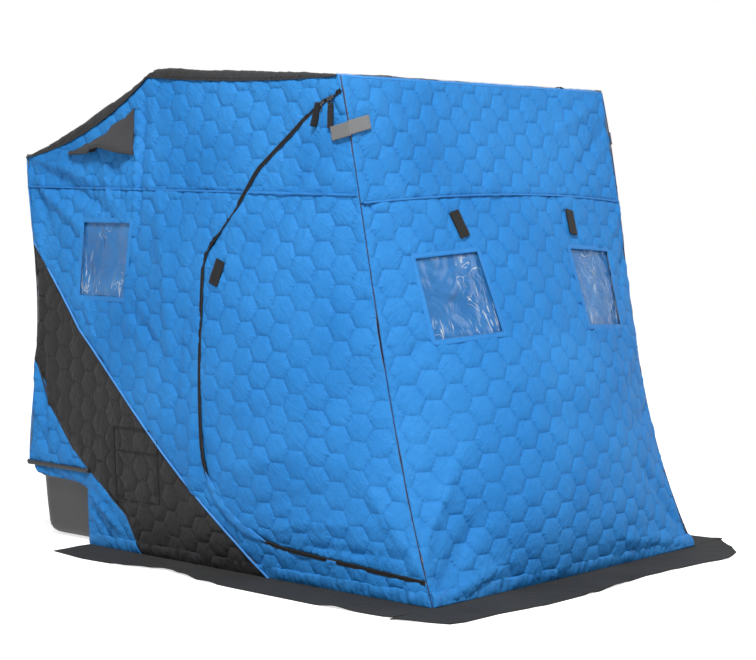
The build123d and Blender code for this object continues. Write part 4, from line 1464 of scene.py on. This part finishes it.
def window(name, wall, centre, size, tilt, lean, stands_for, seed):
    """A wrinkled pane and its sewn border."""
    cut = (size[0] + ALLOWANCE, size[1] + ALLOWANCE)
    pane = patch(name, wall, centre, cut, tilt, -0.005, 0.0012, film, 0.0, 0, seed, 0.007)
    inside = {}
    for loop, uv in zip(pane.data.loops, pane.data.uv_layers["cloth"].data):
        inside[loop.vertex_index] = min(size[0] / 2 - abs(uv.uv[0]), size[1] / 2 - abs(uv.uv[1]))
    straight = Vector(outward(wall, np.array([centre]))[1][0])
    for vert in pane.data.vertices:
        here = Vector(vert.co)
        free = min(max(inside[vert.index] / 0.03, 0), 1)
        crumple = noise.fractal(here * 9 + Vector((seed, 0, 0)), 0.8, 2.0, 3) * 0.005
        drawn = abs(noise.noise(here * 5 + Vector((0, seed, 3)))) * -0.006
        vert.co = here + straight * (crumple + drawn) * free
        vert.co.y -= (vert.co.z - centre[1]) / size[1] * lean
    finished(pane, "window_film", stands_for)
    half = np.array(size) / 2 + 0.006
    corners = [np.array(p) * half for p in ((0, -1), (1, -1), (1, 1), (-1, 1), (-1, -1), (0, -1))]
    ring = rounded_path(corners, (0.010,) * 4, 0.006)[:-1]
    ring = np.stack([ring[:, 0] - ring[:, 1] / size[1] * lean, ring[:, 1]], -1)
    sizes = dict(width=0.019, height=0.0036, cloth=blue_tape, thread=blue_thread, looped=True, row=0.0062)
    sewn(f"{name}_border", outward(wall, turned_plan(centre, ring, tilt)), "blue_quilt", **sizes)


for word, (x, z, tilt) in front_windows.items():
    window(f"front_{word}_pane", front_wall, (x, z), FRONT_PANE, tilt, 0, f"front_{word}_window", x * 9)
for side, word in SIDES:
    stands_for, seed = f"{word}_window", side * 4
    window(f"{word}_side_pane", side_wall(side), SIDE_PANE_PLACE, SIDE_PANE, 0, PANE_LEAN, stands_for, seed)

# ---------------------------------------------------------------- the roof
# One charcoal quilted sheet lies over the three bows, level to the crest and sagging a little behind
# it. It turns down in a lip over both side walls, where a dark piping closes the seam.


def roof_top(back):
    """The roof's top line, bent softly over the crest's bow."""
    return np.mean([roof_height(back + step) for step in np.linspace(-0.05, 0.05, 9)], axis=0)


def roof_lip(back):
    """How high the lip hangs and how tightly the sheet bends into it."""
    lip = np.maximum(roof_top(back) - roof_seam_height(back), 0.007)
    return lip, np.minimum(0.022, 0.8 * lip)


def roof_edge(back):
    """How far out the lip hangs."""
    return side_x(back, roof_seam_height(back)) + 0.005


def roof_half(back):
    """Half the sheet's width, measured round the bend to the lip's edge."""
    lip, bend = roof_lip(back)
    return roof_edge(back) - bend + bend * np.pi / 2 + lip - bend


def roof_at(u, back):
    lip, bend = roof_lip(back)
    flat = roof_edge(back) - bend
    past = np.abs(u) - flat
    turn = np.clip(past / bend, 0, np.pi / 2)
    x = np.where(past < 0, np.abs(u), flat + bend * np.sin(turn))
    hang = 0.010 * np.clip(1 - (u / 0.7) ** 2, 0, 1) * np.sin(np.pi * np.clip((back - 0.42) / 0.88, 0, 1)) ** 2
    z = roof_top(back) - bend * (1 - np.cos(turn)) - np.maximum(past - bend * np.pi / 2, 0) - hang
    return np.stack([np.sign(u) * x, FRONT_Y + back, z], -1)


roof_wall = (roof_at, 1)
roof_cloth = cloth_material("charcoal_roof_cloth", (46, 46, 47), (56, 57, 58), rough=0.6, gloss=0.12)
roof_tape = plain_cloth("charcoal_roof_seam_cloth", (46, 47, 48), (58, 59, 60), 0.8)
roof_panels = {
    "front": ((0.424, 1.300), (0.40, 1.34), (1.50, 0.90)),
    "rear": ((1.300, 2.022), (1.26, 2.05), (1.50, 0.80)),
}
for k, (word, ((start, end), (low, high), flat)) in enumerate(roof_panels.items()):
    limits = [
        lambda p: roof_half(p[:, 1]) - np.abs(p[:, 0]),
        lambda p, start=start: p[:, 1] - start,
        lambda p, end=end: end - p[:, 1],
    ]
    ripples = [(-0.60 + 0.3 * j, start, -0.55 + 0.28 * j, end, 0.045, -0.004) for j in range(5)]
    box, calm = ((-0.80, low), (0.80, high)), dict(puff=0.0030, pucker=0.002, calm=0.09)
    piece = quilted(f"roof_{word}_quilt", roof_wall, *box, limits, roof_cloth, ripples, 40.0 + k, **calm)
    finished(piece, "roof_cloth", f"roof_{word}_panel")

crest_run = on_wall(roof_wall, [(-0.71, 1.300), (0.71, 1.300)])
dark_sewn = dict(cloth=roof_tape, thread=dark_thread)
sewn("roof_crest_seam", crest_run, "roof_cloth", 0.014, 0.0034, row=0.005, **dark_sewn)
for side, word in SIDES:
    backs = np.linspace(0.425, 2.018, 200)
    edge = outward(roof_wall, np.stack([side * (roof_half(backs) - 0.001), backs], -1))
    sewn(f"{word}_roof_piping", edge, "roof_cloth", 0.006, 0.005, dark_thread, lift=0.0008, wobble=0.0016)
hem = dict(width=0.032, height=0.007, row=0.012, lift=0.006, pleat=0.004, wobble=0.002, **dark_sewn)
sewn("roof_back_hem", on_wall(back_wall, [(-0.704, 1.404), (0.704, 1.404)]), "roof_cloth", **hem)
count = 140
top_edge = np.tile((0.0, FRONT_Y + 0.424, 1.6480), (count, 1))
top_edge[:, 0] = np.linspace(-0.702, 0.702, count)
leaning = np.tile((0, -0.45, 0.89), (count, 1))
sleeve = dict(width=0.034, height=0.020, row=0.0135, lift=0.0, wobble=0.003, pleat=0.003)
sewn("front_top_sleeve", (top_edge, leaning), "blue_quilt", cloth=blue_tape, thread=blue_thread, **sleeve)
turn = np.linspace(0, math.pi, 20)
loop = np.stack([0.47 + 0.024 * np.cos(turn), 0 * turn + FRONT_Y + 0.432, 1.652 + 0.013 * np.sin(turn)], -1)
straight = loop - (0.47, FRONT_Y + 0.432, 1.640)
sewn("roof_hanging_loop", (loop, straight), "edging", 0.014, 0.0026, black_tape, lift=0.0, wobble=0.0)
place, size = (0.700, FRONT_Y + 0.428, 1.652), (0.024, 0.026, 0.022)
finished(block("front_bow_end_cap", place, size, np.eye(3), 0.007, painted_metal), "tube")

# ---------------------------------------------------------------- the vent hoods
# A triangular charcoal hood over a mesh vent high on each side, sewn down along its sloping top and
# its upright front edge and held open along the bottom.
HOOD_TOP = np.array([
    (1.402, 1.578), (1.455, 1.549), (1.532, 1.519), (1.559, 1.493), (1.661, 1.461), (1.771, 1.424),
])  # fmt: skip
HOOD_LOW = np.array([
    (1.402, 1.414), (1.502, 1.432), (1.558, 1.443), (1.604, 1.438), (1.622, 1.423), (1.771, 1.421),
])  # fmt: skip
HOOD_GRID = (60, 30)
hood_cloth = plain_cloth("charcoal_hood_cloth", (54, 54, 56), (66, 66, 68), 0.6, rough=0.62, gloss=0.15)
vent_mesh = plain_cloth("black_vent_mesh", (12, 12, 13), (24, 24, 26), 0.1, threads=420, thread_height=0.0006)
hem = dict(width=0.012, height=0.0026, row=0.0042, lift=0.0, wobble=0.0008)
hem.update(cloth=hood_cloth, thread=dark_thread)
b, t = np.meshgrid(np.linspace(1.402, 1.770, HOOD_GRID[0]), np.linspace(0, 1, HOOD_GRID[1]), indexing="ij")
high, low = np.interp(b, *HOOD_TOP.T), np.interp(b, *HOOD_LOW.T)
z = low + (high - low) * t
share = (b - 1.402) / 0.369
opening = np.clip(share / 0.24, 0, 1)
held_open = 0.052 * (1 - t) ** 0.9 * (1 - (1 - opening) ** 2) * (1 - share) ** 0.6 + 0.005
for side, word in SIDES:
    wall, out = side_wall(side), (side, 0, 0)
    ripple = [noise.noise(Vector((p * 14, q * 22, side))) for p, q in zip(b.ravel(), z.ravel())]
    grid = laid_grid(wall, b, z, held_open.ravel() + 0.004 * np.array(ripple))
    piece = finished(
        shell(f"{word}_vent_hood_cloth", grid, 0.003, out, hood_cloth), "roof_cloth", f"{word}_vent_hood"
    )
    vent = laid_grid(wall, b, low + 0.006 + (high - low) * t * 0.86, 0.0045)
    finished(shell(f"{word}_vent_mesh", vent, 0.0015, out, vent_mesh), "roof_cloth")
    lower = grid[:-3, 0] + np.array(out) * 0.0012 + (0, 0, 0.006)
    sewn(f"{word}_vent_hood_hem", (lower, np.tile(out, (len(lower), 1))), "roof_cloth", **hem)

# ---------------------------------------------------------------- the flap over each zip's lower bend
# Blue cloth folded double and sewn to the door keeps snow out of the zip where it turns forwards.
bend_run = spaced(zip_line[(zip_line[:, 1] < 0.345) & (zip_line[:, 0] > 0.690)], 0.006)
inner, outer = offset_line(bend_run, 0.022), offset_line(bend_run, -0.014)
taper = np.clip(np.sin(np.pi * np.linspace(0, 1, len(bend_run))) * 1.6, 0, 1)[:, None] ** 0.8
t = np.linspace(0, 1, 12)
middle = (inner * 0.42 + outer * 0.58)[:, None]
plan = middle + (inner[:, None] + (outer - inner)[:, None] * t[:, None] - middle) * taper[..., None]
crown = np.sin(np.pi * t) ** 0.6
for side, word in SIDES:
    wrinkle = [noise.noise(Vector((p * 24 + q * 30, q * 16 - p * 24, side))) for p, q in plan.reshape(-1, 2)]
    proud = 0.0052 + 0.0055 * crown * taper + 0.0045 * np.reshape(wrinkle, plan.shape[:2]) * crown
    grid = laid_grid(side_wall(side), plan[..., 0], plan[..., 1], proud)
    piece = shell(f"{word}_zip_flap", grid, 0.002, (side, 0, 0), blue_tape)
    finished(piece, "blue_quilt", body=f"{word}_door")

# ---------------------------------------------------------------- the skirt on the ice
# A strip of heavy coated cloth lies on the ice round three sides and holds banked snow. Its outer
# edge is turned over once and wanders a little.
SIDE_OUTLINE = np.array([
    (-0.10, 0.885), (0.0, 0.905), (0.26, 0.927), (0.71, 0.919), (0.87, 0.909), (1.08, 0.868),
    (1.24, 0.910), (1.45, 0.925), (1.645, 0.898),
])  # fmt: skip
FRONT_OUTLINE = np.array([
    (-0.925, 0.0), (-0.905, -0.06), (-0.885, -0.10), (-0.855, -0.175), (-0.80, -0.192),
    (-0.64, -0.194), (-0.44, -0.222), (-0.15, -0.220), (0.15, -0.185), (0.48, -0.200),
    (0.61, -0.222), (0.73, -0.176), (0.805, -0.11), (0.862, -0.04), (0.905, 0.0),
])  # fmt: skip
skirt_cloth = plain_cloth(
    "charcoal_skirt_cloth", (42, 42, 42), (57, 57, 57), 1.0, threads=600, rough=0.75, gloss=0.06
)


def skirt_piece(word, x, y, reach, seed):
    """A strip of skirt, lifted off the ice here and there, most towards its free edge."""
    places = np.stack([x, y], -1).reshape(-1, 2)
    broad = np.array([noise.noise(Vector((a * 5, b * 5, seed))) for a, b in places])
    fine = np.array([noise.noise(Vector((a * 17, b * 17, seed))) for a, b in places])
    z = 0.0042 + 0.010 * np.clip((broad + 0.4 * fine).reshape(reach.shape), 0, 1) * reach
    piece = shell(f"{word}_skirt_cloth", np.stack([x, y, z], -1), 0.0035, (0, 0, 1), skirt_cloth)
    finished(piece, "skirt_cloth", f"{word}_skirt")


share, reach = np.meshgrid(np.linspace(0, 1, 180), np.linspace(0, 1, 24), indexing="ij")
for side, word in SIDES:
    back = 0.002 + 1.643 * share
    outer = np.interp(back, *SIDE_OUTLINE.T) if side < 0 else 0.918 - 0.020 * np.sin(back * 6.1) ** 2
    x = side * (0.716 + (outer - 0.716) * reach)
    skirt_piece(word, x, FRONT_Y + back, reach, 3.0 + side)
x = -0.925 + 1.830 * share
y = FRONT_Y + 0.002 + (np.interp(x, *FRONT_OUTLINE.T) - 0.002) * reach
skirt_piece("front", x, y, reach, 9.0)

# ---------------------------------------------------------------- the sled, its brackets and the bows
# A tub moulded of dark grey polyethylene carries the hut. Three bows of black enamelled tube pivot
# on a plate at each side of it, and a round black edging finishes the cloth above its rear end.
polyethylene = hard_material("grey_polyethylene", (42, 42, 43), (54, 54, 55), 0.5, grain=0.0005, scale=220.0)
enamel = hard_material("black_enamelled_tube", (22, 22, 24), (38, 38, 41), 0.35, grain=0.0002, coat=0.4)
zinc = hard_material("zinc_plated_plate", (120, 122, 126), (150, 152, 156), 0.4, metal=0.85, grain=0.0003)
rubber = hard_material("black_edging_rubber", (26, 26, 28), (40, 40, 42), 0.5, grain=0.0004)


def moulded(name, low, high, profile, corner, count=9):
    """A round-cornered tub: each (inset, height) of the profile is a loop, from under its floor to its inside."""
    low, high = np.array(low[:2]), np.array(high[:2])
    middle, half = (low + high) / 2, (high - low) / 2
    points = []
    for inset, height in profile:
        radius = max(corner - inset * 0.4, 0.02)
        reach = half - inset - radius
        for quarter, way in enumerate(((1, 1), (-1, 1), (-1, -1), (1, -1))):
            for angle in np.linspace(0, np.pi / 2, count) + quarter * np.pi / 2:
                spot = middle + way * reach + radius * np.array((math.cos(angle), math.sin(angle)))
                points.append((*spot, height))
    ring = 4 * count
    faces = []
    for a in range(0, len(points) - ring, ring):
        b = a + ring
        faces += [(a + k, a + (k + 1) % ring, b + (k + 1) % ring, b + k) for k in range(ring)]
    faces += [tuple(range(ring))[::-1], tuple(range(len(points) - ring, len(points)))]
    mesh = bpy.data.meshes.new(name)
    mesh.from_pydata(points, [], faces)
    mesh.polygons.foreach_set("use_smooth", [True] * (len(faces) - 2) + [False, False])
    return object_of(name, mesh, polyethylene)


sled_low, sled_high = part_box("sled")
top = sled_high[2]
TUB = [
    (0.115, 0.006), (0.062, 0.0075), (0.048, 0.012), (0.036, 0.022), (0.029, 0.036), (0.026, 0.052),
    (0.020, 0.120), (0.014, top - 0.046), (0.013, top - 0.040), (0.003, top - 0.034), (0.001, top - 0.028),
    (0.000, top - 0.010), (0.003, top - 0.002), (0.008, top), (0.026, top), (0.030, top - 0.003),
    (0.032, top - 0.010), (0.036, 0.060), (0.044, 0.036), (0.060, 0.020), (0.115, 0.014),
]  # fmt: skip
finished(moulded("moulded_sled", sled_low, sled_high, TUB, 0.068), "sled_plastic", "sled")
# A strip of the hem's cloth joins the foot of the back wall to the sled's rim and shuts out the wind.
STRIP_TOP, RIM_INSET = 0.288, 0.014
u, v = np.meshgrid(np.linspace(-0.690, 0.690, 120), np.linspace(0, 1, 6), indexing="ij")
hem_y, rim_y = FRONT_Y + rear_back(STRIP_TOP) - 0.006, sled_high[1] - RIM_INSET
ripple = 0.0015 * np.sin(u * 41) * np.sin(np.pi * v)
grid = np.stack([u, hem_y + (rim_y - hem_y) * v + ripple, STRIP_TOP + (top - 0.002 - STRIP_TOP) * v], -1)
finished(shell("back_wind_strip", grid, 0.002, (0, 1, 0), black_hem), "black_quilt")
RUNNER = [(0.014, 0.0004), (0.010, 0.0012), (0.002, 0.008), (0.0, 0.010)]
for k, across in enumerate((-0.46, -0.155, 0.155, 0.46)):
    low, high = (across - 0.035, sled_low[1] + 0.07), (across + 0.035, sled_high[1] - 0.07)
    finished(moulded(f"sled_runner_{k + 1}", low, high, RUNNER, 0.030), "sled_plastic")
finishes = {"left_bracket": zinc, "right_bracket": zinc}
finishes.update(front_bow=enamel, middle_bow=enamel, rear_bow=enamel)
for name, finish in finishes.items():
    for slot in frame["nodes"][name].material_slots:
        slot.material = finish
bead = dict(width=0.017, height=0.016, cloth=rubber, lift=0.006, wobble=0.004)
KNOT_AXES = ((1, 0, 0), (0, 0.8, -0.6), (0, 0.6, 0.8))
for side, word in SIDES:
    wall, stands_for = side_wall(side), "sled_hem" if side < 0 else None
    run = on_wall(wall, [(1.632, 0.275), (2.003, 0.273)], 0.006)
    sewn(f"{word}_hem_edging", run, "edging", stands_for=stands_for, **bead)
    here, out = outward(wall, np.array([(1.640, 0.277)]))
    place, size = here[0] + out[0] * 0.012, (0.014, 0.022, 0.014)
    finished(block(f"{word}_edging_knot", place, size, KNOT_AXES, 0.005, rubber), "edging")
sewn("back_hem_edging", on_wall(back_wall, [(-0.724, 0.275), (0.724, 0.275)], 0.008), "edging", **bead)

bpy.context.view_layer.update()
import json
